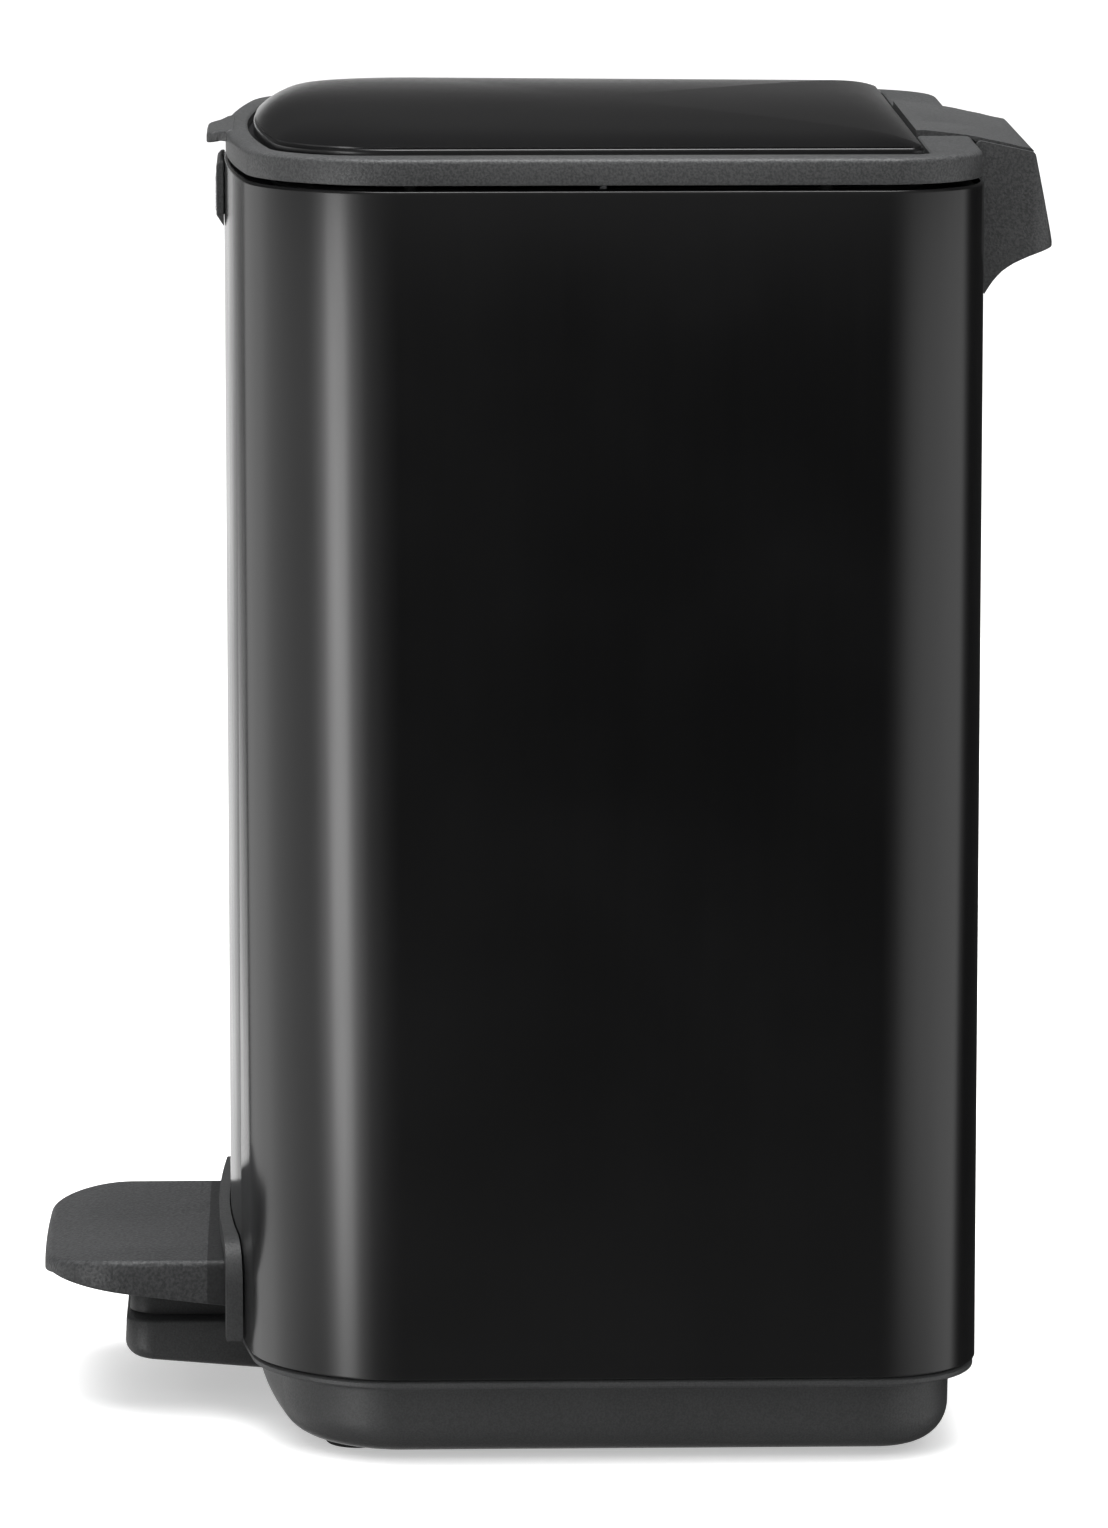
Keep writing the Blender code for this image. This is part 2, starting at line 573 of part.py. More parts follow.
def make_lever(steel):
    """A stamped frame: a plate and two arms under the tread, a boss on the axle, one bar to the rear."""
    y, z = PEDAL_AXIS
    tread, under = LEVER_TREAD_TOP, LEVER_TREAD_TOP - LEVER_SHEET
    bar_top, pad_under = LEVER_BAR_BOTTOM + LEVER_SHEET, LEVER_PAD_TOP - LEVER_SHEET
    bar = [(y + 4.0, LEVER_BAR_BOTTOM), (101.5, LEVER_BAR_BOTTOM), (110.0, pad_under), (122.9, pad_under)]
    bar += [(122.9, LEVER_PAD_TOP), (107.6, LEVER_PAD_TOP), (99.1, bar_top), (y + 4.0, bar_top)]
    lever = prism_x("pedal_lever", bar, -8.0, 8.0, steel)
    cross_low = (-LEVER_ARM_OUTER + 1.0, y + 1.0, LEVER_BAR_BOTTOM)
    join(lever, box("cross", cross_low, (LEVER_ARM_OUTER - 1.0, y + 12.0, bar_top)))
    arm = [(-136.0, under), (-136.0, tread), (-90.0, tread), (-72.0, 33.0), (y + 6.0, z + 1.0)]
    arm += [(y + 3.0, z - 5.5), (y - 6.0, z - 3.5), (-76.0, 27.5), (-84.0, 35.2), (-92.0, under)]
    gusset = [(y - 5.0, z - 4.0), (y + 5.0, z - 4.0)]
    gusset += [(y + 12.0, LEVER_BAR_BOTTOM), (y + 1.0, LEVER_BAR_BOTTOM)]
    for low, high in ((-LEVER_ARM_OUTER, -LEVER_ARM_INNER), (LEVER_ARM_INNER, LEVER_ARM_OUTER)):
        join(lever, prism_x("gusset", gusset, low, high))
        join(lever, rod_x("boss", y, z, 6.5, low - 0.5, high + 0.5))
        join(lever, prism_x("arm", arm, low, high))
    join(lever, box("plate", (-46.0, -135.5, under + 0.1), (46.0, -130.0, tread - 0.1)))
    join(lever, box("tongue", (-37.0, -144.0, under + 0.1), (37.0, -132.0, tread - 0.1)))
    cut(lever, rod_x("axle_hole", y, z, AXLE_RADIUS + FIT, -70, 70))
    for x in (-PEDAL_SCREW_X, PEDAL_SCREW_X):
        cut(lever, turned_z("screw_hole", x, PEDAL_SCREW_Y, [(2.2, under - 5), (2.2, tread + 5)]))
    return lever


def make_pedal_bearing(plastic, steel):
    y, z = PEDAL_AXIS
    rod_x("pedal_axle", y, z, AXLE_RADIUS, -58.0, 58.0, steel)
    for side, x in (("left", -57.0), ("right", 49.0)):
        profile = [(y - 9.0, TUB_FLOOR + FIT), (y + 9.0, TUB_FLOOR + FIT), (y + 7.0, z)]
        profile += arc(y, z, 7.0, 15, 165, 8) + [(y - 7.0, z)]
        bracket = prism_x(f"axle_bracket_{side}", profile, x, x + 8.0, plastic)
        cut(bracket, rod_x("bearing", y, z, AXLE_RADIUS + FIT, -70, 70))
        middle = x + 4.0
        cut(bracket, turned_z("screw_hole", middle, y, [(2.2, 0), (2.2, 13.0)]))
        rows = [(2.0, 2.2), (2.0, 11.5), (1.2, 12.4)]
        turned_z(f"bracket_screw_{side}", middle, y, rows, steel)


def make_pedal_screws(steel):
    seat = LEVER_TREAD_TOP - LEVER_SHEET - FIT
    rows = [(4.0, seat - 2.1), (4.0, seat), (1.9, seat), (1.9, LEVER_TREAD_TOP + 0.4)]
    for side, x in (("left", -PEDAL_SCREW_X), ("right", PEDAL_SCREW_X)):
        turned_z(f"pedal_screw_{side}", x, PEDAL_SCREW_Y, rows, steel)


# ---------------------------------------------------------------- lid
def make_frame(plastic):
    """The lid's rim: an outer wall and a flange round the inlay, with the finger tab in front."""
    rows = [(0.5, FRAME_BOTTOM), (0.5, 384.4), (0.9, 385.7), (1.8, 386.5), (3.2, FRAME_TOP)]
    loops = [level(body_outline(inset), z) for inset, z in rows]
    loops += [level(panel_outline(-1.9), FRAME_TOP), level(panel_outline(-1.1), FRAME_TOP - 0.8)]
    loops += [level(panel_outline(-1.1), 384.3), level(body_outline(3.2), 384.3)]
    loops.append(level(body_outline(3.2), FRAME_BOTTOM))
    frame = loft("lid_frame", loops, plastic, ring=True)
    join(frame, make_tab())
    recess_low = (-COVER_HALF_WIDTH - FIT, PANEL_REAR + 1.2, FRAME_TOP - 1.4)
    cut(frame, box("recess", recess_low, (COVER_HALF_WIDTH + FIT, REAR + 5, 400)))
    cut(frame, box("crank_way", (-4.6, 120.0, FRAME_BOTTOM - 5), (4.6, REAR + 5, 390)))
    return frame


def make_tab():
    """The finger tab: it narrows and slopes down towards its round tip."""

    def plan(inset):
        root, tip = 25.0 - inset, 18.0 - inset
        front, back = FRONT_MOST - 5.1 + inset, FRONT_MOST + 3.0
        left = [(-root, back), (-root, FRONT_MOST + 1.0)]
        left += [(-tip - 0.6, front + 3.0), (-tip + 2.5, front + 0.5)]
        return left + [(-x, y) for x, y in left[::-1]]

    def top(y):
        return FRAME_TOP + 0.3 - 0.22 * (FRONT_MOST + 3.0 - y)

    loops = [[(x, y, top(y) - 3.4) for x, y in plan(0.8)], [(x, y, top(y) - 2.8) for x, y in plan(0.0)]]
    loops += [[(x, y, top(y) - 0.9) for x, y in plan(0.0)], [(x, y, top(y)) for x, y in plan(0.9)]]
    return loft("tab", loops)


def panel_height(x, y, share):
    """The inlay's height at a share of the way from its middle (0) to its edge (1): it swells quickly."""
    crown = PANEL_CROWN - PANEL_SLOPE * math.tanh((y + 5.0) / 35.0)
    return PANEL_EDGE + (crown - PANEL_ARCH * (x / PANEL_HALF_WIDTH) ** 2) * (1 - share ** 16)


def scaled(outline, share, centre_y):
    return [(x * share, centre_y + (y - centre_y) * share) for x, y in outline]


def make_panel(steel):
    """The inlay: a domed sheet with a turned-down edge."""
    centre_y = 15.0
    shares = (1.0, 0.985, 0.96, 0.92, 0.85, 0.7, 0.45, 0.2, 0.06)

    def ring_at(inset, share, lift):
        ring = scaled(panel_outline(inset), share, centre_y)
        return [(x, y, panel_height(x, y, share) + lift) for x, y in ring]

    loops = [ring_at(PANEL_SHEET, share, -PANEL_SHEET) for share in shares[::-1]]
    loops.append(level(panel_outline(PANEL_SHEET), 384.8))
    loops.append(level(panel_outline(0.0), 384.8))
    loops.append(level(panel_outline(0.0), PANEL_EDGE - 0.9))
    loops.append(level(panel_outline(0.35), PANEL_EDGE - 0.2))
    loops += [ring_at(0.0, share, 0.0) for share in shares[1:]]
    return loft("lid_panel", loops, steel, smooth=40.0)


def make_liner(plastic):
    """The plate that closes the lid from below, cut back behind for the crank."""

    def plan(inset):
        side, front = HALF_WIDTH - 3.6 - inset, FRONT_SIDE + 3.6 + inset
        front_radius = FRONT_RADIUS - 3.6 - inset
        return bowed_outline(side, front, 115.0 - inset, front_radius, 26.0 - inset, FRONT_BOW)

    rows = [(1.0, 381.8), (0.0, 382.5), (0.0, 383.9)]
    return loft("lid_liner", [level(plan(inset), z) for inset, z in rows], plastic)


def make_bumpers(rubber):
    for end, y in (("front", -40.0), ("rear", 80.0)):
        for side, x in (("left", -114.6), ("right", 114.6)):
            rows = [(1.3, RING_TOP + FIT), (1.8, RING_TOP + 0.9), (1.8, 381.5)]
            turned_z(f"lid_bumper_{end}_{side}", x, y, rows, rubber)


def make_hinge_cover(plastic):
    """The raised cover from the inlay's rear edge to the hinge, with the lid's knuckles under it."""
    y, z = HINGE_AXIS
    low = FRAME_TOP - 1.4 + FIT
    side = [(PANEL_REAR + 1.5, low), (127.2, low), (131.0, 383.4), (139.5, 382.3), (y, 382.3)]
    side += [(y + 2.0, 381.4), (y + 2.4, 382.5), (y + 1.5, 383.1), (139.0, 384.3), (133.0, 385.6)]
    side += [(127.2, 386.8), (118.0, 388.0), (112.0, 388.7), (PANEL_REAR + 1.5, 388.5)]
    cover = prism_x("hinge_cover", side, -COVER_HALF_WIDTH, COVER_HALF_WIDTH, plastic, smooth=25.0)
    for x in (-27.0, 13.0):
        web = [(y - 2.2, z), (y + 1.6, z), (y + 1.6, 382.7), (y - 2.2, 383.0)]
        join(cover, prism_x("web", web, x, x + 14.0))
        join(cover, rod_x("knuckle", y, z, KNUCKLE_RADIUS, x, x + 14.0))
    return cut(cover, rod_x("pin_bore", y, z, HINGE_PIN_RADIUS + FIT, -60, 60))


def make_crank(steel):
    """The hook that the rod lifts: over the wrap's rear edge and down inside it."""
    y, z = HINGE_AXIS
    turn = math.radians(CRANK_REST_ANGLE)
    tip_y, tip_z = y - CRANK_RADIUS * math.cos(turn), z + CRANK_RADIUS * math.sin(turn)
    side = arc(tip_y, tip_z, 2.2, 150, 400, 10)
    side += [(tip_y + 1.2, 374.0), (125.2, 379.2), (136.0, 380.2), (136.0, 381.6), (130.0, 382.6)]
    side += [(127.4, 383.9), (119.2, 383.9), (118.6, 378.0)]
    return prism_x("lid_crank", side, -4.0, 4.0, steel)


# ---------------------------------------------------------------- assembly
def main():
    for obj in list(bpy.data.objects):
        bpy.data.objects.remove(obj, do_unlink=True)

    black_steel = material("black_coated_steel", (0.012, 0.012, 0.013), 0.38)
    grey_plastic = material("grained_grey_plastic", (0.075, 0.077, 0.080), 0.55)
    dark_plastic = material("dark_inner_plastic", (0.03, 0.03, 0.032), 0.6)
    bare_steel = material("bare_steel", (0.55, 0.55, 0.56), 0.35, 1.0)
    rubber = material("black_rubber", (0.02, 0.02, 0.02), 0.85)
    bright = material("bright_plate", (0.8, 0.8, 0.82), 0.25, 1.0)

    make_shell(black_steel)
    make_base(grey_plastic)
    make_surround(grey_plastic)
    make_feet(rubber)
    make_ring(dark_plastic)
    make_handle(grey_plastic)
    make_handle_screws(bare_steel)
    make_badge(grey_plastic, bright)
    rod_x("hinge_pin", *HINGE_AXIS, HINGE_PIN_RADIUS, -CHEEK_INNER + 0.5, CHEEK_INNER - 0.5, bare_steel)
    make_bucket(dark_plastic, bare_steel)
    make_rod_guides(dark_plastic)
    make_pedal_bearing(dark_plastic, bare_steel)

    rod_axis = add_axis("rod_axis", ROD_Y, ROD_FOOT_Z)
    hang_on(rod_axis, [make_rod(bare_steel), make_damper(dark_plastic, bare_steel)])

    pedal_axis = add_axis("pedal_axis", *PEDAL_AXIS)
    make_pedal_screws(bare_steel)
    pedal_pieces = [make_pedal(grey_plastic), make_lever(bare_steel)]
    pedal_pieces += [bpy.data.objects[f"pedal_screw_{side}"] for side in ("left", "right")]
    hang_on(pedal_axis, pedal_pieces)

    lid_axis = add_axis("lid_axis", *HINGE_AXIS)
    make_bumpers(rubber)
    lid_pieces = [make_frame(grey_plastic), make_panel(black_steel), make_liner(dark_plastic)]
    lid_pieces += [make_hinge_cover(grey_plastic), make_crank(bare_steel)]
    lid_pieces += [obj for obj in bpy.data.objects if obj.name.startswith("lid_bumper")]
    hang_on(lid_axis, lid_pieces)


main()
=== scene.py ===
import json
import math

import bmesh
import bpy
from mathutils import Matrix, Vector


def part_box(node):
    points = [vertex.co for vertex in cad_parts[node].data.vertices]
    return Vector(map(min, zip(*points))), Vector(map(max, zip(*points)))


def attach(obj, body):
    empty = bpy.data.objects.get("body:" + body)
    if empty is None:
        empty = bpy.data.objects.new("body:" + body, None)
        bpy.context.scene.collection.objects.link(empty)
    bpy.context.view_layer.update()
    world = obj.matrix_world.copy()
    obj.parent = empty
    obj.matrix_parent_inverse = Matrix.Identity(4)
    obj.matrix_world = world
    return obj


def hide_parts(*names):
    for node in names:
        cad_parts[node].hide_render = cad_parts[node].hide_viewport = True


# The looks of a pedal bin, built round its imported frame. The pedal is towards -Y, the hinge and the handle
# towards +Y, and the floor is z = 0. Lengths here are in millimetres, and add_mesh() turns them into metres.

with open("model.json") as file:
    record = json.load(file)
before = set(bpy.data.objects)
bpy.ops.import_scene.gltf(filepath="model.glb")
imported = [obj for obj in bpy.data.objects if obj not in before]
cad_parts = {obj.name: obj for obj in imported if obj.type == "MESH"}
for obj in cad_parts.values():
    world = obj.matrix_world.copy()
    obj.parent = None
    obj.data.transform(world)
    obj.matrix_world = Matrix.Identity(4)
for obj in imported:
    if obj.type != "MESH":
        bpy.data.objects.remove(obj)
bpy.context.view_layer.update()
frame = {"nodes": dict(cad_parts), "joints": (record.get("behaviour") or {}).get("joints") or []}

MM = 0.001


def box_of(node):
    """A node's lowest and highest corners, in millimetres."""
    low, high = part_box(node)
    return [v / MM for v in low], [v / MM for v in high]


# ---------------------------------------------------------------- sizes, from the frame
# A front side is where a bowed front meets its corners, a bow is how far its middle stands ahead of that, and
# FIT is the gap left between pieces that sit in or on each other.
SHELL_LOW, SHELL_HIGH = box_of("body_shell")
HALF_WIDTH, FRONT_MOST, REAR = SHELL_HIGH[0], SHELL_LOW[1], SHELL_HIGH[1]
SHELL_BOTTOM, SHELL_TOP = SHELL_LOW[2], SHELL_HIGH[2]
FRONT_BOW = 13.9
FRONT_SIDE = FRONT_MOST + FRONT_BOW
FRONT_RADIUS, REAR_RADIUS = 37.5, 30.5
SHELL_WALL = 1.0
FIT = 0.3

TUB_BOTTOM = 1.5
TUB_WALL_INSET = 8.0
TUB_BOTTOM_RADIUS = 12.0
LIP_TOP = SHELL_BOTTOM - 0.4

STOP_FRONT = box_of("base_moulding")[0][1]
STOP_HALF_WIDTH = 38.0
STOP_BOTTOM, STOP_LEDGE, STOP_TOP = 10.3, 26.3, 32.2
STOP_RISE = 0.085
FEET = [f"foot_{end}_{side}" for end in ("front", "rear") for side in ("left", "right")]

SURROUND_HIGH = box_of("pedal_surround")[1]
SURROUND_HALF_WIDTH, SURROUND_TOP = SURROUND_HIGH[0], SURROUND_HIGH[2]
SURROUND_PROUD = 3.5
SURROUND_BOW = 10.1
SURROUND_RIM = 5.5
SLOT_HALF_WIDTH, SLOT_TOP = 63.0, 52.3

PEDAL_LOW, PEDAL_HIGH = box_of("pedal_cover")
PEDAL_TIP, PEDAL_REAR = PEDAL_LOW[1], PEDAL_HIGH[1]
PEDAL_HALF_WIDTH, PEDAL_TOP = PEDAL_HIGH[0], PEDAL_HIGH[2]
PEDAL_WALL = 2.6
PEDAL_BOW = 1.5
PEDAL_CORNER = 24.0
PEDAL_NOSE = 26.0
PEDAL_NOSE_DROP = 3.0
PEDAL_SIDES_START = 33.0
PEDAL_EDGE = 2.4
PEDAL_SKIRT_FRONT, PEDAL_SKIRT_FALL = 43.2, 8.4
# Behind this line the pedal's tread is painted darker, as shade where it runs into the slot under the arch.
PEDAL_SHADE_FROM = FRONT_MOST - 6.6

HINGE = next(j for j in frame["joints"] if j["name"] == "lid_hinge")["pos_m"]
HINGE_Y, HINGE_Z = HINGE[1] / MM, HINGE[2] / MM
PIN_RADIUS, KNUCKLE_RADIUS = 1.2, 2.6

PANEL_LOW, PANEL_HIGH = box_of("lid_panel")
PANEL_HALF_WIDTH, PANEL_REAR = PANEL_HIGH[0], PANEL_HIGH[1]
PANEL_BOW = 12.0
PANEL_FRONT_SIDE = PANEL_LOW[1] + PANEL_BOW
PANEL_FRONT_RADIUS, PANEL_REAR_RADIUS = 30.0, 4.0
PANEL_EDGE = 388.5
PANEL_CROWN, PANEL_SLOPE, PANEL_ARCH = 6.1, 0.7, 2.7
PANEL_BOTTOM = PANEL_LOW[2]
PANEL_SHEET = 1.2

FRAME_BOTTOM, FRAME_TOP = box_of("lid_frame")[0][2], 386.9
FRAME_OPENING_RADIUS = 22.0
CRANK_WAY_HALF_WIDTH = 4.6

LINER_LOW, LINER_HIGH = box_of("lid_liner")
LINER_GAP = 3.6
LINER_REAR_RADIUS = 26.0

HANDLE_HIGH = box_of("rear_handle")[1]
HANDLE_HALF_WIDTH, HANDLE_REAR = HANDLE_HIGH[0], HANDLE_HIGH[1]
HANDLE_CORNER = 7.0
HANDLE_WALL = 5.5
CHEEK_INNER = 50.5
KNUCKLE_LENGTH = 14.0
COVER_LOW, COVER_HIGH = box_of("hinge_cover")
COVER_HALF_WIDTH = COVER_HIGH[0]
COVER_SEAT = FRAME_TOP - 1.4

BADGE_LOW, BADGE_HIGH = box_of("badge_holder")
BADGE_FRONT, BADGE_HALF_WIDTH = BADGE_LOW[1], BADGE_HIGH[0]

BUCKET_LOW, BUCKET_HIGH = box_of("inner_bucket")
BUCKET_HALF_WIDTH, BUCKET_REAR, BUCKET_BOTTOM = 108.0, 106.0, BUCKET_LOW[2]
BUCKET_FRONT_SIDE = FRONT_SIDE + 12.0
BUCKET_BOW = FRONT_BOW - 2.0
BUCKET_RADIUS = 27.0
RIM_TOP = BUCKET_HIGH[2]
RING_LOW, RING_HIGH = box_of("top_ring")
RIM_BOTTOM = RING_HIGH[2] + FIT

# How finely curves are cut, how far a cutter reaches past its piece, and where an edge starts to look sharp.
CORNER_STEPS = 22
FRONT_STEPS = 56
ROUND_STEPS = 48
TREAD_STEPS = 20
TREAD_SIDE_STEPS = 6
PAST = 5.0
SHARP_ANGLE = 35.0


# ---------------------------------------------------------------- outlines, as lists of (x, y)
def arc(centre_x, centre_y, radius, start, end, steps=CORNER_STEPS):
    """Points on an arc from a start angle to an end angle, in degrees."""
    turn = [math.radians(start + (end - start) * i / steps) for i in range(steps + 1)]
    return [(centre_x + radius * math.cos(a), centre_y + radius * math.sin(a)) for a in turn]


def bowed_outline(half_width, front_side, rear, front_radius, rear_radius, bow):
    """A rounded rectangle, counter-clockwise from above, whose front half bulges towards -Y."""
    inner_front, inner_rear = half_width - front_radius, half_width - rear_radius
    points = arc(inner_rear, rear - rear_radius, rear_radius, 0, 90)
    points += arc(-inner_rear, rear - rear_radius, rear_radius, 90, 180)
    points += arc(-inner_front, front_side + front_radius, front_radius, 180, 270)
    for step in range(1, FRONT_STEPS):
        points.append((-inner_front + 2 * inner_front * step / FRONT_STEPS, front_side))
    points += arc(inner_front, front_side + front_radius, front_radius, 270, 360)
    middle, reach = (front_side + rear) / 2, (rear - front_side) / 2
    bowed = []
    for x, y in points:
        forward = max(0.0, (middle - y) / reach)
        bowed.append((x, y - bow * (1 - (x / half_width) ** 2) * forward))
    return bowed


def body_outline(inset):
    """The wrap's outline, drawn in by an inset all round."""
    return bowed_outline(
        HALF_WIDTH - inset,
        FRONT_SIDE + inset,
        REAR - inset,
        max(FRONT_RADIUS - inset, 4.0),
        max(REAR_RADIUS - inset, 4.0),
        FRONT_BOW,
    )


def panel_outline(inset, front_radius=PANEL_FRONT_RADIUS):
    """The lid inlay's outline, with round front corners and tight rear ones."""
    return bowed_outline(
        PANEL_HALF_WIDTH - inset,
        PANEL_FRONT_SIDE + inset,
        PANEL_REAR - inset,
        front_radius - inset,
        max(PANEL_REAR_RADIUS - inset, 1.0),
        PANEL_BOW,
    )


def bucket_outline(inset):
    """The lift-out bucket's outline under its rim."""
    radius = max(BUCKET_RADIUS - inset, 6.0)
    return bowed_outline(
        BUCKET_HALF_WIDTH - inset, BUCKET_FRONT_SIDE + inset, BUCKET_REAR - inset, radius, radius, BUCKET_BOW
    )


def level(outline, z):
    """An outline laid flat at a height."""
    return [(x, y, z) for x, y in outline]


def rounding(inset, z, radius, start, end, steps=5):
    """Profile points (inset, z) on a quarter round: 0 degrees points outwards, 90 up."""
    turn = [math.radians(start + (end - start) * i / steps) for i in range(steps + 1)]
    return [(inset - radius * math.cos(a), z + radius * math.sin(a)) for a in turn]


# ---------------------------------------------------------------- meshes
def add_mesh(name, points, faces, finish=None, smooth=SHARP_ANGLE):
    """A new object, from points in millimetres and faces that may still look the wrong way."""
    mesh = bpy.data.meshes.new(name)
    mesh.from_pydata([Vector(p) * MM for p in points], [], faces)
    obj = bpy.data.objects.new(name, mesh)
    bpy.context.scene.collection.objects.link(obj)
    fix = bmesh.new()
    fix.from_mesh(mesh)
    bmesh.ops.recalc_face_normals(fix, faces=fix.faces)
    fix.to_mesh(mesh)
    fix.free()
    mesh.shade_smooth()
    mesh.set_sharp_from_angle(angle=math.radians(smooth))
    if finish:
        mesh.materials.append(finish)
    return obj


def strip(here, there, count):
    """The faces between two loops of points, each loop given by the number of its first point."""
    return [(here + i, here + (i + 1) % count, there + (i + 1) % count, there + i) for i in range(count)]


def loft(name, loops, finish=None, ring=False, smooth=SHARP_ANGLE):
    """Joins loops of equally many points. The ends are capped, or joined to each other in a ring."""
    count = len(loops[0])
    points = [p for loop in loops for p in loop]
    faces = []
    pairs = len(loops) if ring else len(loops) - 1
    for row in range(pairs):
        faces += strip(row * count, (row + 1) % len(loops) * count, count)
    if not ring:
        faces.append(tuple(range(count)))
        faces.append(tuple(range(len(points) - count, len(points))))
    return add_mesh(name, points, faces, finish, smooth)


def slab(name, outline, z_low, z_high, finish=None):
    """An outline (x, y), drawn out between two heights."""
    return loft(name, [level(outline, z_low), level(outline, z_high)], finish)


def prism_x(name, profile, x_low, x_high, finish=None):
    """A profile (y, z), drawn out along X."""
    return loft(name, [[(x, y, z) for y, z in profile] for x in (x_low, x_high)], finish)


def prism_y(name, profile, y_low, y_high, finish=None):
    """A profile (x, z), drawn out along Y."""
    return loft(name, [[(x, y, z) for x, z in profile] for y in (y_low, y_high)], finish)


def box(name, low, high, finish=None):
    """A block between two corners."""
    corners = [(low[0], low[1]), (high[0], low[1]), (high[0], high[1]), (low[0], high[1])]
    return slab(name, corners, low[2], high[2], finish)


def circle(x, y, radius):
    """A closed circle, whose last point stops one step short of its first."""
    return arc(x, y, radius, 0, 360 - 360 / ROUND_STEPS, ROUND_STEPS - 1)


def rod_x(name, y, z, radius, x_low, x_high):
    """A round bar along X."""
    return prism_x(name, circle(y, z, radius), x_low, x_high)


def turned_z(name, x, y, profile, finish=None):
    """A turned piece on a vertical axis, from (radius, z) points."""
    return loft(name, [level(circle(x, y, r), z) for r, z in profile], finish)


def settle(obj):
    """Makes the modifiers' result the object's own mesh."""
    view = bpy.context.evaluated_depsgraph_get()
    mesh = bpy.data.meshes.new_from_object(obj.evaluated_get(view))
    obj.modifiers.clear()
    obj.data = mesh
    mesh.name = obj.name
    mesh.shade_smooth()
    mesh.set_sharp_from_angle(angle=math.radians(SHARP_ANGLE))


def carve(obj, tool, operation="DIFFERENCE"):
    """A Boolean whose tool is used up."""
    step = obj.modifiers.new("carve", "BOOLEAN")
    step.operation = operation
    step.solver = "EXACT"
    step.object = tool
    settle(obj)
    bpy.data.objects.remove(tool, do_unlink=True)


def soften(obj, width, angle=38.0, segments=3):
    """Rounds an object's edges where its faces meet at more than the angle."""
    step = obj.modifiers.new("soft_edges", "BEVEL")
    step.width = width * MM
    step.segments = segments
    step.limit_method = "ANGLE"
    step.angle_limit = math.radians(angle)
    step.harden_normals = True
    step.miter_outer = "MITER_ARC"


def soften_node(name, width):
    """Rounds a carried-over node's edges. Its mesh comes in unjoined triangles, so they are joined first."""
    obj = frame["nodes"][name]
    weld = obj.modifiers.new("weld", "WELD")
    weld.merge_threshold = 0.01 * MM
    soften(obj, width, angle=40.0, segments=2)


def place(obj, body, *nodes):
    """The piece rides on a body and stands for the nodes, which are hidden."""
    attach(obj, body)
    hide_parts(*nodes)
    return obj


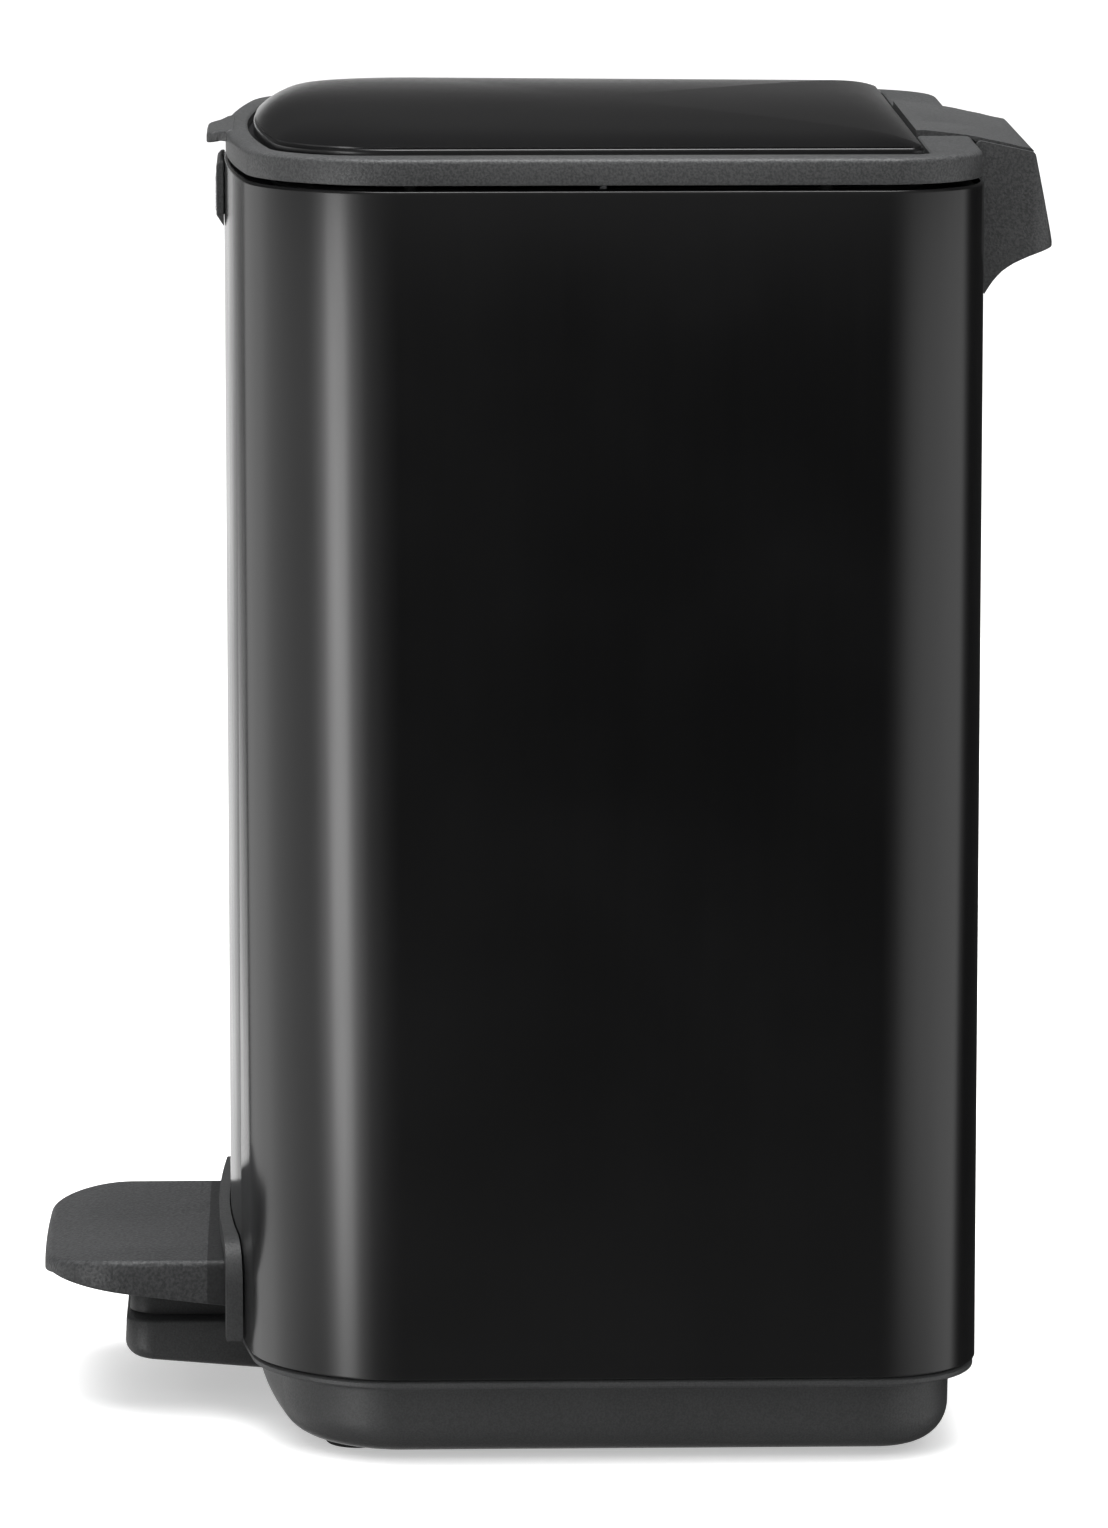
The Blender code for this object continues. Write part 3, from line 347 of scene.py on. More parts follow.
# ---------------------------------------------------------------- materials
class Nodes:
    """A short way to write a material's nodes. Coordinates are the object's own, in metres, so a noise of
    scale 1000 has features of about a millimetre."""

    def __init__(self, name):
        self.material = bpy.data.materials.new(name)
        self.material.use_nodes = True
        self.tree = self.material.node_tree
        self.shader = self.tree.nodes["Principled BSDF"]
        self.place = self.tree.nodes.new("ShaderNodeTexCoord").outputs["Object"]

    def set(self, **values):
        """Sets the shader's sockets, written with underscores for spaces."""
        for name, value in values.items():
            self.shader.inputs[name.replace("_", " ")].default_value = value

    def link(self, output, name):
        """Feeds one of the shader's sockets."""
        self.tree.links.new(output, self.shader.inputs[name])

    def stretched(self, scale):
        """The place, scaled along each axis: below 1 draws a pattern out along it."""
        node = self.tree.nodes.new("ShaderNodeMapping")
        node.inputs["Scale"].default_value = scale
        self.tree.links.new(self.place, node.inputs["Vector"])
        return node.outputs["Vector"]

    def noise(self, scale, detail=3.0, vector=None, roughness=0.5):
        """A noise over the place, or over a stretched one."""
        node = self.tree.nodes.new("ShaderNodeTexNoise")
        node.inputs["Scale"].default_value = scale
        node.inputs["Detail"].default_value = detail
        node.inputs["Roughness"].default_value = roughness
        self.tree.links.new(vector or self.place, node.inputs["Vector"])
        return node.outputs["Fac"]

    def cells(self, scale):
        """The distance to the nearest cell's middle."""
        node = self.tree.nodes.new("ShaderNodeTexVoronoi")
        node.inputs["Scale"].default_value = scale
        self.tree.links.new(self.place, node.inputs["Vector"])
        return node.outputs["Distance"]

    def spread(self, value, to_low, to_high, low=0.3, high=0.7):
        """Stretches a value from between low and high, where a noise mostly lies, to the range given."""
        node = self.tree.nodes.new("ShaderNodeMapRange")
        for name, number in (("From Min", low), ("From Max", high), ("To Min", to_low), ("To Max", to_high)):
            node.inputs[name].default_value = number
        self.tree.links.new(value, node.inputs["Value"])
        return node.outputs["Result"]

    def blend(self, share, first, second):
        """A mix of two colours, each a tuple or another output."""
        node = self.tree.nodes.new("ShaderNodeMix")
        node.data_type = "RGBA"
        self.tree.links.new(share, node.inputs["Factor"])
        for name, colour in (("A", first), ("B", second)):
            socket = next(s for s in node.inputs if s.name == name and s.type == "RGBA")
            if isinstance(colour, tuple):
                socket.default_value = (*colour, 1.0)
            else:
                self.tree.links.new(colour, socket)
        return next(s for s in node.outputs if s.type == "RGBA")

    def maths(self, operation, first, second):
        """A calculation on two values, each a number or another output."""
        node = self.tree.nodes.new("ShaderNodeMath")
        node.operation = operation
        for socket, value in zip(node.inputs, (first, second)):
            if isinstance(value, (int, float)):
                socket.default_value = value
            else:
                self.tree.links.new(value, socket)
        return node.outputs["Value"]

    def axis(self, name):
        """The place along one axis, "X", "Y" or "Z"."""
        node = self.tree.nodes.new("ShaderNodeSeparateXYZ")
        self.tree.links.new(self.place, node.inputs["Vector"])
        return node.outputs[name]

    def roughness(self, *parts):
        """Feeds the roughness with the sum of noises, each given with its lowest and highest share."""
        spreads = [self.spread(noise, low, high) for noise, low, high in parts]
        total = spreads[0]
        for part in spreads[1:]:
            total = self.maths("ADD", total, part)
        self.link(total, "Roughness")

    def bump(self, height, strength, distance, under=None):
        """A normal from a height whose full range is a distance in metres, over another normal if given."""
        node = self.tree.nodes.new("ShaderNodeBump")
        node.inputs["Strength"].default_value = strength
        node.inputs["Distance"].default_value = distance
        self.tree.links.new(height, node.inputs["Height"])
        if under:
            self.tree.links.new(under, node.inputs["Normal"])
        return node.outputs["Normal"]


FLOOR_BOUNCE = (0.42, 0.42, 0.42)
FLOOR_GLOW = 0.45


def coated_steel(name):
    """Black satin coating over sheet steel: faint orange peel, drifting sheen and hair-fine rubs."""
    m = Nodes(name)
    dark, light = (0.0035, 0.0035, 0.0037), (0.0052, 0.0052, 0.0055)
    drift = m.noise(14.0, 2.0)
    peel = m.noise(1100.0, 2.0)
    hairs = m.noise(420.0, 3.0, m.stretched((1.0, 1.0, 0.03)), 0.6)
    m.link(m.blend(m.spread(drift, 0.0, 1.0, 0.35, 0.65), dark, light), "Base Color")
    m.roughness((drift, 0.17, 0.20), (hairs, -0.015, 0.015))
    m.link(m.bump(peel, 0.10, 0.02 * MM, m.bump(hairs, 0.05, 0.01 * MM)), "Normal")
    m.set(Specular_IOR_Level=1.0)
    return m.material


def grained_plastic(name, dark, light, grain, depth, rough, shade_from_y=None):
    """Dark grey moulded plastic with a fine spark-eroded grain and a little rub on its high spots.
    Behind shade_from_y it is smoother, and painted darker as shade where the tread runs into its slot."""
    m = Nodes(name)
    speck = m.noise(grain, 2.0, roughness=0.6)
    pits = m.cells(grain * 0.8)
    drift = m.noise(22.0, 3.0)
    tone = m.maths("ADD", m.spread(speck, 0.0, 0.75, 0.38, 0.62), m.spread(drift, 0.0, 0.25))
    colour = m.blend(tone, dark, light)
    height = m.maths("ADD", speck, m.maths("MULTIPLY", pits, 0.5))
    if shade_from_y is not None:
        # Painted shade: the tread is darkened behind this line, where it runs into the slot.
        behind = m.maths("GREATER_THAN", m.axis("Y"), shade_from_y * MM)
        colour = m.blend(m.maths("MULTIPLY", behind, 0.65), colour, tuple(c * 0.45 for c in dark))
        height = m.maths("MULTIPLY", height, m.spread(behind, 1.0, 0.35, 0.0, 1.0))
    m.link(colour, "Base Color")
    m.roughness((drift, rough - 0.03, rough + 0.03), (speck, 0.04, -0.04))
    m.link(m.bump(height, depth, 0.22 * MM), "Normal")
    return m.material


def inner_plastic(name, dark, light, rough):
    """Smooth black polypropylene with faint flow marks and scuffs from use."""
    m = Nodes(name)
    flow = m.noise(18.0, 4.0, m.stretched((1.0, 1.0, 0.25)))
    fine = m.noise(1500.0, 2.0)
    scuffs = m.noise(260.0, 5.0, m.stretched((1.0, 0.35, 0.12)), 0.7)
    colour = m.blend(m.spread(flow, 0.0, 0.7), dark, light)
    scuffed = tuple(c * 2.2 for c in light)
    m.link(m.blend(m.spread(scuffs, 0.0, 0.35, 0.62, 0.8), colour, scuffed), "Base Color")
    m.roughness((flow, rough - 0.06, rough + 0.06))
    m.link(m.bump(fine, 0.18, 0.05 * MM), "Normal")
    return m.material


def plated_steel(name):
    """Zinc-plated steel: a mottled grey with draw lines and duller patches."""
    m = Nodes(name)
    spangle = m.cells(260.0)
    lines = m.noise(900.0, 2.0, m.stretched((1.0, 0.06, 0.06)), 0.6)
    dull = m.noise(60.0, 4.0)
    tone = m.blend(m.spread(spangle, 0.0, 1.0, 0.1, 0.6), (0.42, 0.43, 0.45), (0.58, 0.59, 0.60))
    m.link(m.blend(m.spread(dull, 0.0, 0.5, 0.5, 0.75), tone, (0.30, 0.30, 0.31)), "Base Color")
    m.roughness((dull, 0.26, 0.42), (lines, -0.05, 0.05))
    m.link(m.bump(lines, 0.15, 0.03 * MM), "Normal")
    m.set(Metallic=1.0)
    return m.material


def soft_rubber(name):
    """Black rubber with a little pale dust on it."""
    m = Nodes(name)
    clean, dusty = (0.011, 0.011, 0.011), (0.045, 0.043, 0.041)
    dust = m.noise(90.0, 5.0)
    fine = m.noise(1800.0, 3.0)
    m.link(m.blend(m.spread(dust, 0.0, 0.5, 0.5, 0.75), clean, dusty), "Base Color")
    m.roughness((fine, 0.78, 0.92))
    m.link(m.bump(fine, 0.25, 0.06 * MM), "Normal")
    return m.material


def brushed_plate(name):
    """A blank aluminium plate, brushed along X."""
    m = Nodes(name)
    lines = m.noise(2600.0, 3.0, m.stretched((0.02, 1.0, 1.0)), 0.7)
    stain = m.noise(70.0, 3.0)
    m.link(m.blend(m.spread(lines, 0.0, 1.0), (0.66, 0.66, 0.67), (0.86, 0.86, 0.87)), "Base Color")
    m.roughness((lines, 0.20, 0.34), (stain, -0.03, 0.03))
    m.link(m.bump(lines, 0.2, 0.02 * MM), "Normal")
    m.set(Metallic=1.0)
    return m.material


def floor_paint(name):
    """White to the eye, even in its shadows, by a glow that only the eye gets. It throws less light back, as
    a table between dark flags does."""
    m = Nodes(name)
    cloud = m.noise(1.5, 3.0)
    pale = m.blend(cloud, (0.86, 0.86, 0.86), (0.89, 0.89, 0.89))
    seen = m.tree.nodes.new("ShaderNodeLightPath").outputs["Is Camera Ray"]
    m.link(m.blend(seen, FLOOR_BOUNCE, pale), "Base Color")
    m.link(m.maths("MULTIPLY", seen, FLOOR_GLOW), "Emission Strength")
    m.set(Emission_Color=(1.0, 1.0, 1.0, 1.0))
    m.roughness((cloud, 0.8, 0.9))
    m.set(Specular_IOR_Level=0.1)
    return m.material


shell_coat = coated_steel("black_satin_coating")
panel_coat = coated_steel("black_inlay_coating")
frame_grey = grained_plastic(
    "lid_grey_plastic", (0.038, 0.039, 0.040), (0.090, 0.091, 0.092), grain=1500.0, depth=0.5, rough=0.37
)
pedal_grey = grained_plastic(
    "pedal_grey_plastic", (0.036, 0.037, 0.038), (0.082, 0.083, 0.085), grain=1100.0, depth=0.8, rough=0.44,
    shade_from_y=PEDAL_SHADE_FROM,
)
base_grey = grained_plastic(
    "base_grey_plastic", (0.048, 0.049, 0.050), (0.078, 0.079, 0.080), grain=1800.0, depth=0.3, rough=0.40
)
inner_black = inner_plastic("inner_black_plastic", (0.014, 0.014, 0.015), (0.022, 0.022, 0.023), rough=0.5)
bucket_black = inner_plastic("bucket_plastic", (0.020, 0.020, 0.021), (0.030, 0.030, 0.032), rough=0.44)
bare_steel = plated_steel("plated_steel")
rubber = soft_rubber("foot_rubber")
bright = brushed_plate("blank_badge_metal")


# ---------------------------------------------------------------- body
def make_shell():
    """The wrap, with rolled edges at the top and the bottom and a notch for the pedal."""
    outside = [(0.55, SHELL_BOTTOM), (0.2, SHELL_BOTTOM + 0.12), (0.0, SHELL_BOTTOM + 0.5)]
    outside += rounding(0.9, SHELL_TOP - 0.9, 0.9, 0, 100, 7)
    inside = [(SHELL_WALL, SHELL_TOP - 0.35), (SHELL_WALL, SHELL_BOTTOM + 0.2)]
    loops = [level(body_outline(inset), z) for inset, z in outside + inside]
    shell = loft("shell_wrap", loops, shell_coat, ring=True)
    notch_low = (-SLOT_HALF_WIDTH, FRONT_MOST - PAST, SHELL_BOTTOM - PAST)
    carve(shell, box("notch", notch_low, (SLOT_HALF_WIDTH, FRONT_SIDE + 12, SLOT_TOP)))
    return place(shell, "body", "body_shell")


def stop_block(half_width, front, z_low, z_high, corner, low_edge):
    """A block that grows out of the tub's front wall, with round front corners and, if asked, a round lower
    edge. Its underside rises towards the front."""
    rear = FRONT_MOST + TUB_WALL_INSET + 4.8

    def plan(inset):
        left = arc(-half_width + corner, front + corner, corner - inset, 180, 270, 12)
        right = arc(half_width - corner, front + corner, corner - inset, 270, 360, 12)
        return left + right + [(half_width - inset, rear), (-half_width + inset, rear)]

    low_rows = [(0.0, z_low)]
    if low_edge:
        low_rows = [(5.0, z_low)] + rounding(4.6, z_low + 4.6, 4.6, -80, 0, 7)
    high_rows = [(0.25, z_high - 0.9), (0.6, z_high - 0.35), (1.4, z_high)]
    loops = [[(x, y, z + STOP_RISE * (rear - y)) for x, y in plan(inset)] for inset, z in low_rows]
    loops += [level(plan(inset), z) for inset, z in high_rows]
    return loft("stop", loops)


def foot_place(name):
    """A foot's middle (x, y), its radius and the height of its top."""
    low, high = box_of(name)
    return (low[0] + high[0]) / 2, (low[1] + high[1]) / 2, (high[0] - low[0]) / 2, high[2]


def make_base():
    """The foot tub: a lip under the wrap, a collar inside it, and an inset bowl with a round bottom edge."""
    wall, lip, bend = TUB_WALL_INSET, LIP_TOP, TUB_BOTTOM_RADIUS
    outside = [(1.7, lip + 7), (1.7, lip), (1.4, lip - 0.05), (1.0, lip - 0.35), (0.6, lip - 0.9)]
    outside += rounding(1.5, 24.9, 0.9, 0, -80)
    outside += [(5.6, 23.7), (wall - 1.0, 23.35), (wall - 0.4, 22.6), (wall - 0.15, 21.0)]
    outside += rounding(wall + bend, TUB_BOTTOM + bend, bend, 0, -90, 16)
    inside = [(wall + 12.5, 4.3), (wall + 7.0, 5.3), (wall + 4.4, 8.0), (wall + 2.6, 12.5)]
    inside += [(wall + 2.6, 23.4), (wall + 1.2, 25.6), (4.0, 26.2), (4.0, lip + 7)]
    loops = [level(body_outline(inset), z) for inset, z in outside + inside]
    count = len(loops[0])
    floor_row = len(outside) - 1
    faces = []
    for row in range(len(loops)):
        if row != floor_row:
            faces += strip(row * count, (row + 1) % len(loops) * count, count)
    for row in (floor_row, floor_row + 1):
        faces.append(tuple(range(row * count, (row + 1) * count)))
    base = add_mesh("foot_tub", [p for loop in loops for p in loop], faces, base_grey)

    opening_low = (-SLOT_HALF_WIDTH, FRONT_MOST - PAST, lip - 0.01)
    carve(base, box("front_gap", opening_low, (SLOT_HALF_WIDTH, FRONT_SIDE + 14, lip + 20)))
    carve(base, stop_block(STOP_HALF_WIDTH, STOP_FRONT, STOP_BOTTOM, STOP_LEDGE, 9.0, True), "UNION")
    neck = stop_block(STOP_HALF_WIDTH - 9.0, STOP_FRONT + 1.2, STOP_LEDGE - 3.0, STOP_TOP, 7.0, False)
    carve(base, neck, "UNION")
    for name in FEET:
        x, y, radius, top = foot_place(name)
        carve(base, turned_z("pocket", x, y, [(radius + 0.4, -2.0), (radius + 0.4, top + FIT)]))
    return place(base, "body", "base_moulding")


def make_feet():
    """Rubber feet with a ring-shaped tread round a shallow hollow."""
    for name in FEET:
        x, y, radius, top = foot_place(name)
        profile = [(radius - 4.5, 0.5), (radius - 4.0, 0.15), (radius - 3.6, 0.0), (radius - 1.0, 0.0)]
        profile += [(radius - 0.5, 0.12), (radius - 0.15, 0.45), (radius, 0.9), (radius, top)]
        place(turned_z(name + "_pad", x, y, profile, rubber), "body", name)


def arch(half_width, top, corner):
    """The upper outline of a slot, (x, z), from left to right."""
    left = arc(-half_width + corner, top - corner, corner, 180, 90, 20)
    right = arc(half_width - corner, top - corner, corner, 90, 0, 20)
    return left + right


def make_surround():
    """The arch round the pedal's slot, which follows the bow of the wall."""
    half, inner_half = SURROUND_HALF_WIDTH, SURROUND_HALF_WIDTH - SURROUND_RIM
    low = LIP_TOP + FIT
    profile = [(-half, low)] + arch(half, SURROUND_TOP, 13.0) + [(half, low), (inner_half, low)]
    profile += arch(inner_half, SURROUND_TOP - SURROUND_RIM, 7.5)[::-1] + [(-inner_half, low)]
    piece = prism_y("pedal_arch", profile, FRONT_MOST - 12, FRONT_SIDE + 20, base_grey)
    face = FRONT_MOST - SURROUND_PROUD + SURROUND_BOW
    limit = bowed_outline(HALF_WIDTH + 10, face, REAR, 40.0, 40.0, SURROUND_BOW)
    carve(piece, slab("limit", limit, 0, 90), "INTERSECT")
    carve(piece, slab("wall", body_outline(-FIT), -5, 95))
    soften(piece, 0.7)
    return place(piece, "body", "pedal_surround")


def make_ring():
    """The ring inside the wrap's top edge, with broken upper edges and a notch for the rod."""
    outer, inner = SHELL_WALL + FIT, -0.8
    top, low = RING_HIGH[2], RING_LOW[2]
    outer_rows = [(outer, low), (outer, top - 0.4), (outer + 0.4, top)]
    inner_rows = [(inner - 0.5, top), (inner, top - 0.5), (inner, low)]
    loops = [level(body_outline(inset), z) for inset, z in outer_rows]
    loops += [level(bucket_outline(inset), z) for inset, z in inner_rows]
    ring = loft("rim_ring", loops, inner_black, ring=True)
    rod_low, rod_high = box_of("push_rod")
    middle = (rod_low[1] + rod_high[1]) / 2
    carve(ring, box("notch", (-10.0, middle - 5.0, low - PAST), (10.0, REAR + PAST, top + PAST)))
    return place(ring, "body", "top_ring")


def make_handle():
    """The grip behind the wrap: rounded at its rear corners, hollow from below, with the hinge's knuckles."""
    side = [(127.8, 349.0), (127.8, 383.6)] + arc(129.6, 383.9, 1.6, 170, 82, 6)
    side += arc(144.5, 380.9, 1.4, 76, 12, 6)
    side += [(HANDLE_REAR, 354.8)] + arc(150.5, 354.4, 0.8, 0, -70, 5)
    side += [(149.0, 353.0), (146.5, 352.2), (144.0, 351.3), (141.5, 350.2), (139.4, 349.2), (137.5, 348.0)]
    side += [(136.0, 346.9), (134.6, 345.5), (133.4, 344.1), (132.4, 342.7), (131.5, 341.3), (130.8, 340.1)]
    side += [(130.2, 341.6)]
    half, corner = HANDLE_HALF_WIDTH, HANDLE_CORNER
    handle = prism_x("carry_handle", side, -half, half, frame_grey)
    plan = arc(half - corner, HANDLE_REAR - corner, corner, 0, 90, 14)
    plan += arc(-half + corner, HANDLE_REAR - corner, corner, 90, 180, 14)
    plan += [(-half, 120.0), (half, 120.0)]
    carve(handle, slab("plan", plan, 330, 400), "INTERSECT")
    trough_low = (-CHEEK_INNER, 127.0, HINGE_Z - 5.1)
    carve(handle, box("trough", trough_low, (CHEEK_INNER, 156.0, 395.0)))
    hollow = [(131.3, 336.0), (131.3, 371.2), (143.0, 371.2), (146.8, 356.0), (147.4, 336.0)]
    carve(handle, prism_x("hollow", hollow, -half + HANDLE_WALL, half - HANDLE_WALL))
    web_front, web_rear, web_low = HINGE_Y - 2.0, HINGE_Y + 1.5, HINGE_Z - 7.0
    web = [(web_front, web_low), (web_rear, web_low), (web_rear, HINGE_Z), (web_front, HINGE_Z)]
    for x in (-44.0, 30.0):
        carve(handle, prism_x("web", web, x + 1, x + KNUCKLE_LENGTH - 1), "UNION")
        carve(handle, rod_x("knuckle", HINGE_Y, HINGE_Z, KNUCKLE_RADIUS, x, x + KNUCKLE_LENGTH), "UNION")
    reach = CHEEK_INNER - 0.5
    carve(handle, rod_x("pin_bore", HINGE_Y, HINGE_Z, PIN_RADIUS + FIT, -reach, reach))
    soften(handle, 0.5)
    return place(handle, "body", "rear_handle")


def make_badge():
    """A holder on the front wall, with a blank bright plate let into its face."""
    in_wall = -90.0
    side = [(BADGE_FRONT, 361.0), (BADGE_FRONT, 375.7), (BADGE_FRONT + 1.2, 377.0), (in_wall, 377.0)]
    side += [(in_wall, 357.3), (BADGE_FRONT + 2.4, 357.3)]
    holder = prism_x("badge_frame", side, -BADGE_HALF_WIDTH, BADGE_HALF_WIDTH, frame_grey)
    carve(holder, slab("wall", body_outline(-FIT), 300, 400))
    carve(holder, box("recess", (-17.3, BADGE_FRONT - 2, 361.7), (17.3, BADGE_FRONT + 0.9, 372.3)))
    soften(holder, 0.4)
    place(holder, "body", "badge_holder")
    plate = box("blank_badge", *box_of("badge_plate"), bright)
    soften(plate, 0.25)
    place(plate, "body", "badge_plate")


def make_bucket():
    """The lift-out bucket: tapered, with a round lower edge and a rolled rim."""
    low = BUCKET_BOTTOM
    taper = [(11.0, low), (9.5, low + 0.4), (8.9, low + 0.9), (8.4, low + 2.0), (8.0, low + 4.0)]
    taper += [(7.7, low + 7.0), (0.0, RIM_BOTTOM)]
    rim_middle, rim_radius = (RIM_BOTTOM + RIM_TOP) / 2, (RIM_TOP - RIM_BOTTOM) / 2
    rim = [(-3.9, RIM_BOTTOM)] + rounding(-3.4, rim_middle, rim_radius, -60, 90, 8)
    rim += [(0.6, RIM_TOP), (1.4, RIM_TOP - 0.2), (1.8, RIM_TOP - 0.8)]
    inside = [(9.4, low + 9.0), (9.9, low + 5.5), (10.8, low + 3.2), (12.6, low + 2.4)]
    rows = taper + rim + inside
    bucket = loft("lift_out_bucket", [level(bucket_outline(i), z) for i, z in rows], bucket_black)
    return place(bucket, "body", "inner_bucket")


# ---------------------------------------------------------------- pedal
def pedal_plan(inset):
    """The tread from above: straight sides, round front corners and a slightly curved front edge."""
    half, front, corner = PEDAL_HALF_WIDTH - inset, PEDAL_TIP + PEDAL_BOW + inset, PEDAL_CORNER - inset
    side_front, side_rear = front + PEDAL_SIDES_START, PEDAL_REAR - 2.0
    rear = PEDAL_REAR - inset * 0.3
    side = [side_rear + (side_front - side_rear) * i / TREAD_SIDE_STEPS for i in range(TREAD_SIDE_STEPS + 1)]
    points = [(half, rear), (-half, rear)] + [(-half, y) for y in side]
    points += arc(-half + corner, front + corner, corner, 180, 270, TREAD_STEPS)
    for step in range(1, TREAD_STEPS):
        points.append((-half + corner + 2 * (half - corner) * step / TREAD_STEPS, front))
    points += arc(half - corner, front + corner, corner, 270, 360, TREAD_STEPS)
    points += [(half, y) for y in side[::-1]]
    bowed = []
    for x, y in points:
        ahead = min(1.0, max(0.0, (side_front - y) / 12.0))
        bowed.append((x, y - PEDAL_BOW * (1 - (x / half) ** 2) * ahead))
    return bowed


def pedal_skirt(y):
    """The height of the skirt's lower edge, which falls from the tip to the wall."""
    along = max(0.0, (y - PEDAL_TIP) / (PEDAL_REAR - PEDAL_TIP))
    return PEDAL_SKIRT_FRONT - PEDAL_SKIRT_FALL * along ** 0.8


def pedal_top(y):
    """The tread's height, which curves down over its nose."""
    ahead = max(0.0, (PEDAL_TIP + PEDAL_NOSE - y) / PEDAL_NOSE)
    return PEDAL_TOP - PEDAL_NOSE_DROP * ahead ** 2


def make_pedal():
    """The hollow tread: a grained top, a rounded upper edge and a skirt that deepens towards the wall."""
    edge, wall, middle_y = PEDAL_EDGE, PEDAL_WALL, -118.0

    def ring_at(inset, height, lift):
        return [(x, y, height(y) + lift) for x, y in pedal_plan(inset)]

    outer = [ring_at(1.0, pedal_skirt, 0.0), ring_at(0.55, pedal_skirt, 0.25), ring_at(0.3, pedal_skirt, 0.7)]
    outer.append(ring_at(0.0, pedal_top, -4.0))
    outer += [ring_at(inset, pedal_top, drop) for inset, drop in rounding(edge, -edge, edge, 0, 90, 7)]
    for share in (0.93, 0.8, 0.6, 0.35, 0.1):
        plan = [(x * share, y * share + (1 - share) * middle_y) for x, y in pedal_plan(edge)]
        outer.append([(x, y, pedal_top(y)) for x, y in plan])
    inner = [ring_at(wall + edge, pedal_top, -wall), ring_at(wall + 0.6, pedal_top, -wall - 1.2)]
    inner += [ring_at(wall, pedal_skirt, 0.3), ring_at(wall - 0.5, pedal_skirt, 0.0)]
    tread = loft("pedal_tread", inner + outer, pedal_grey)
    half = PEDAL_HALF_WIDTH - PEDAL_WALL - 0.6
    carve(tread, box("open_rear", (-half, PEDAL_REAR - 6, 20.0), (half, PEDAL_REAR + 6, PEDAL_TOP - 4.0)))
    return place(tread, "pedal", "pedal_cover")


# ---------------------------------------------------------------- lid
def tab_piece():
    """The finger tab: it narrows and slopes down towards its round tip."""

    def plan(inset):
        root, tip = 25.0 - inset, 18.0 - inset
        front, back = FRONT_MOST - 5.1 + inset, FRONT_MOST + 3.0
        left = [(-root, back), (-root, FRONT_MOST + 1.0)]
        left += arc(-tip + 3.4, front + 4.0, 4.0, 190, 262, 8)
        middle = [(x, front - 0.02 * inset) for x in (-8.0, 0.0, 8.0)]
        return left + middle + [(-x, y) for x, y in left[::-1]]

    def top(y):
        return FRAME_TOP + 0.3 - 0.22 * (FRONT_MOST + 3.0 - y)

    rows = [(1.0, -3.4), (0.3, -3.2), (0.0, -2.8), (0.0, -1.1), (0.25, -0.45), (0.7, -0.08), (1.3, 0.0)]
    return loft("tab", [[(x, y, top(y) + rise) for x, y in plan(inset)] for inset, rise in rows])


def make_frame():
    """The lid's rim: a flat outer wall, a crisp round upper edge and the flange round the inlay."""
    rows = [(0.9, FRAME_BOTTOM), (0.6, FRAME_BOTTOM + 0.12), (0.5, FRAME_BOTTOM + 0.5), (0.5, 385.2)]
    rows += [(0.62, 385.7), (0.95, 386.15), (1.4, 386.5), (2.0, 386.72), (2.8, 386.84), (3.8, FRAME_TOP)]
    loops = [level(body_outline(inset), z) for inset, z in rows]
    flange = 384.3
    opening = ((-2.5, FRAME_TOP), (-2.1, FRAME_TOP - 0.15), (-1.8, FRAME_TOP - 0.5), (-1.8, flange))
    loops += [level(panel_outline(inset, FRAME_OPENING_RADIUS), z) for inset, z in opening]
    loops += [level(body_outline(3.2), flange), level(body_outline(3.2), FRAME_BOTTOM)]
    rim = loft("lid_rim", loops, frame_grey, ring=True)
    carve(rim, tab_piece(), "UNION")
    recess_low = (-COVER_HALF_WIDTH - FIT, PANEL_REAR + 1.2, COVER_SEAT)
    carve(rim, box("recess", recess_low, (COVER_HALF_WIDTH + FIT, REAR + PAST, 400)))
    way_low = (-CRANK_WAY_HALF_WIDTH, 120.0, FRAME_BOTTOM - PAST)
    carve(rim, box("crank_way", way_low, (CRANK_WAY_HALF_WIDTH, REAR + PAST, 390)))
    return place(rim, "lid", "lid_frame")


def panel_height(x, y, share):
    """The inlay's height at a share of the way from its middle (0) to its edge (1): it swells quickly."""
    crown = PANEL_CROWN - PANEL_SLOPE * math.tanh((y + 5.0) / 35.0)
    return PANEL_EDGE + (crown - PANEL_ARCH * (x / PANEL_HALF_WIDTH) ** 2) * (1 - share ** 16)


def make_panel():
    """The inlay: a domed sheet with a tight rolled edge."""
    centre_y = 15.0
    roll = 1.0

    def ring_at(inset, share, lift):
        outline = panel_outline(inset)
        points = [(x * share, centre_y + (y - centre_y) * share) for x, y in outline]
        return [(x, y, panel_height(x, y, share) + lift) for x, y in points]

    shares = [1.0 - 0.95 * (step / 40) ** 1.7 for step in range(2, 41)]
    rows = [(PANEL_SHEET, PANEL_EDGE - 1.9), (PANEL_SHEET, PANEL_BOTTOM), (0.0, PANEL_BOTTOM)]
    rows += rounding(roll, PANEL_EDGE - roll, roll, 0, 75, 7)
    loops = [ring_at(PANEL_SHEET, share, -PANEL_SHEET) for share in shares[::-1]]
    loops += [level(panel_outline(inset), z) for inset, z in rows]
    loops += [ring_at(0.0, share, 0.0) for share in shares]
    return place(loft("lid_inlay", loops, panel_coat, smooth=50.0), "lid", "lid_panel")


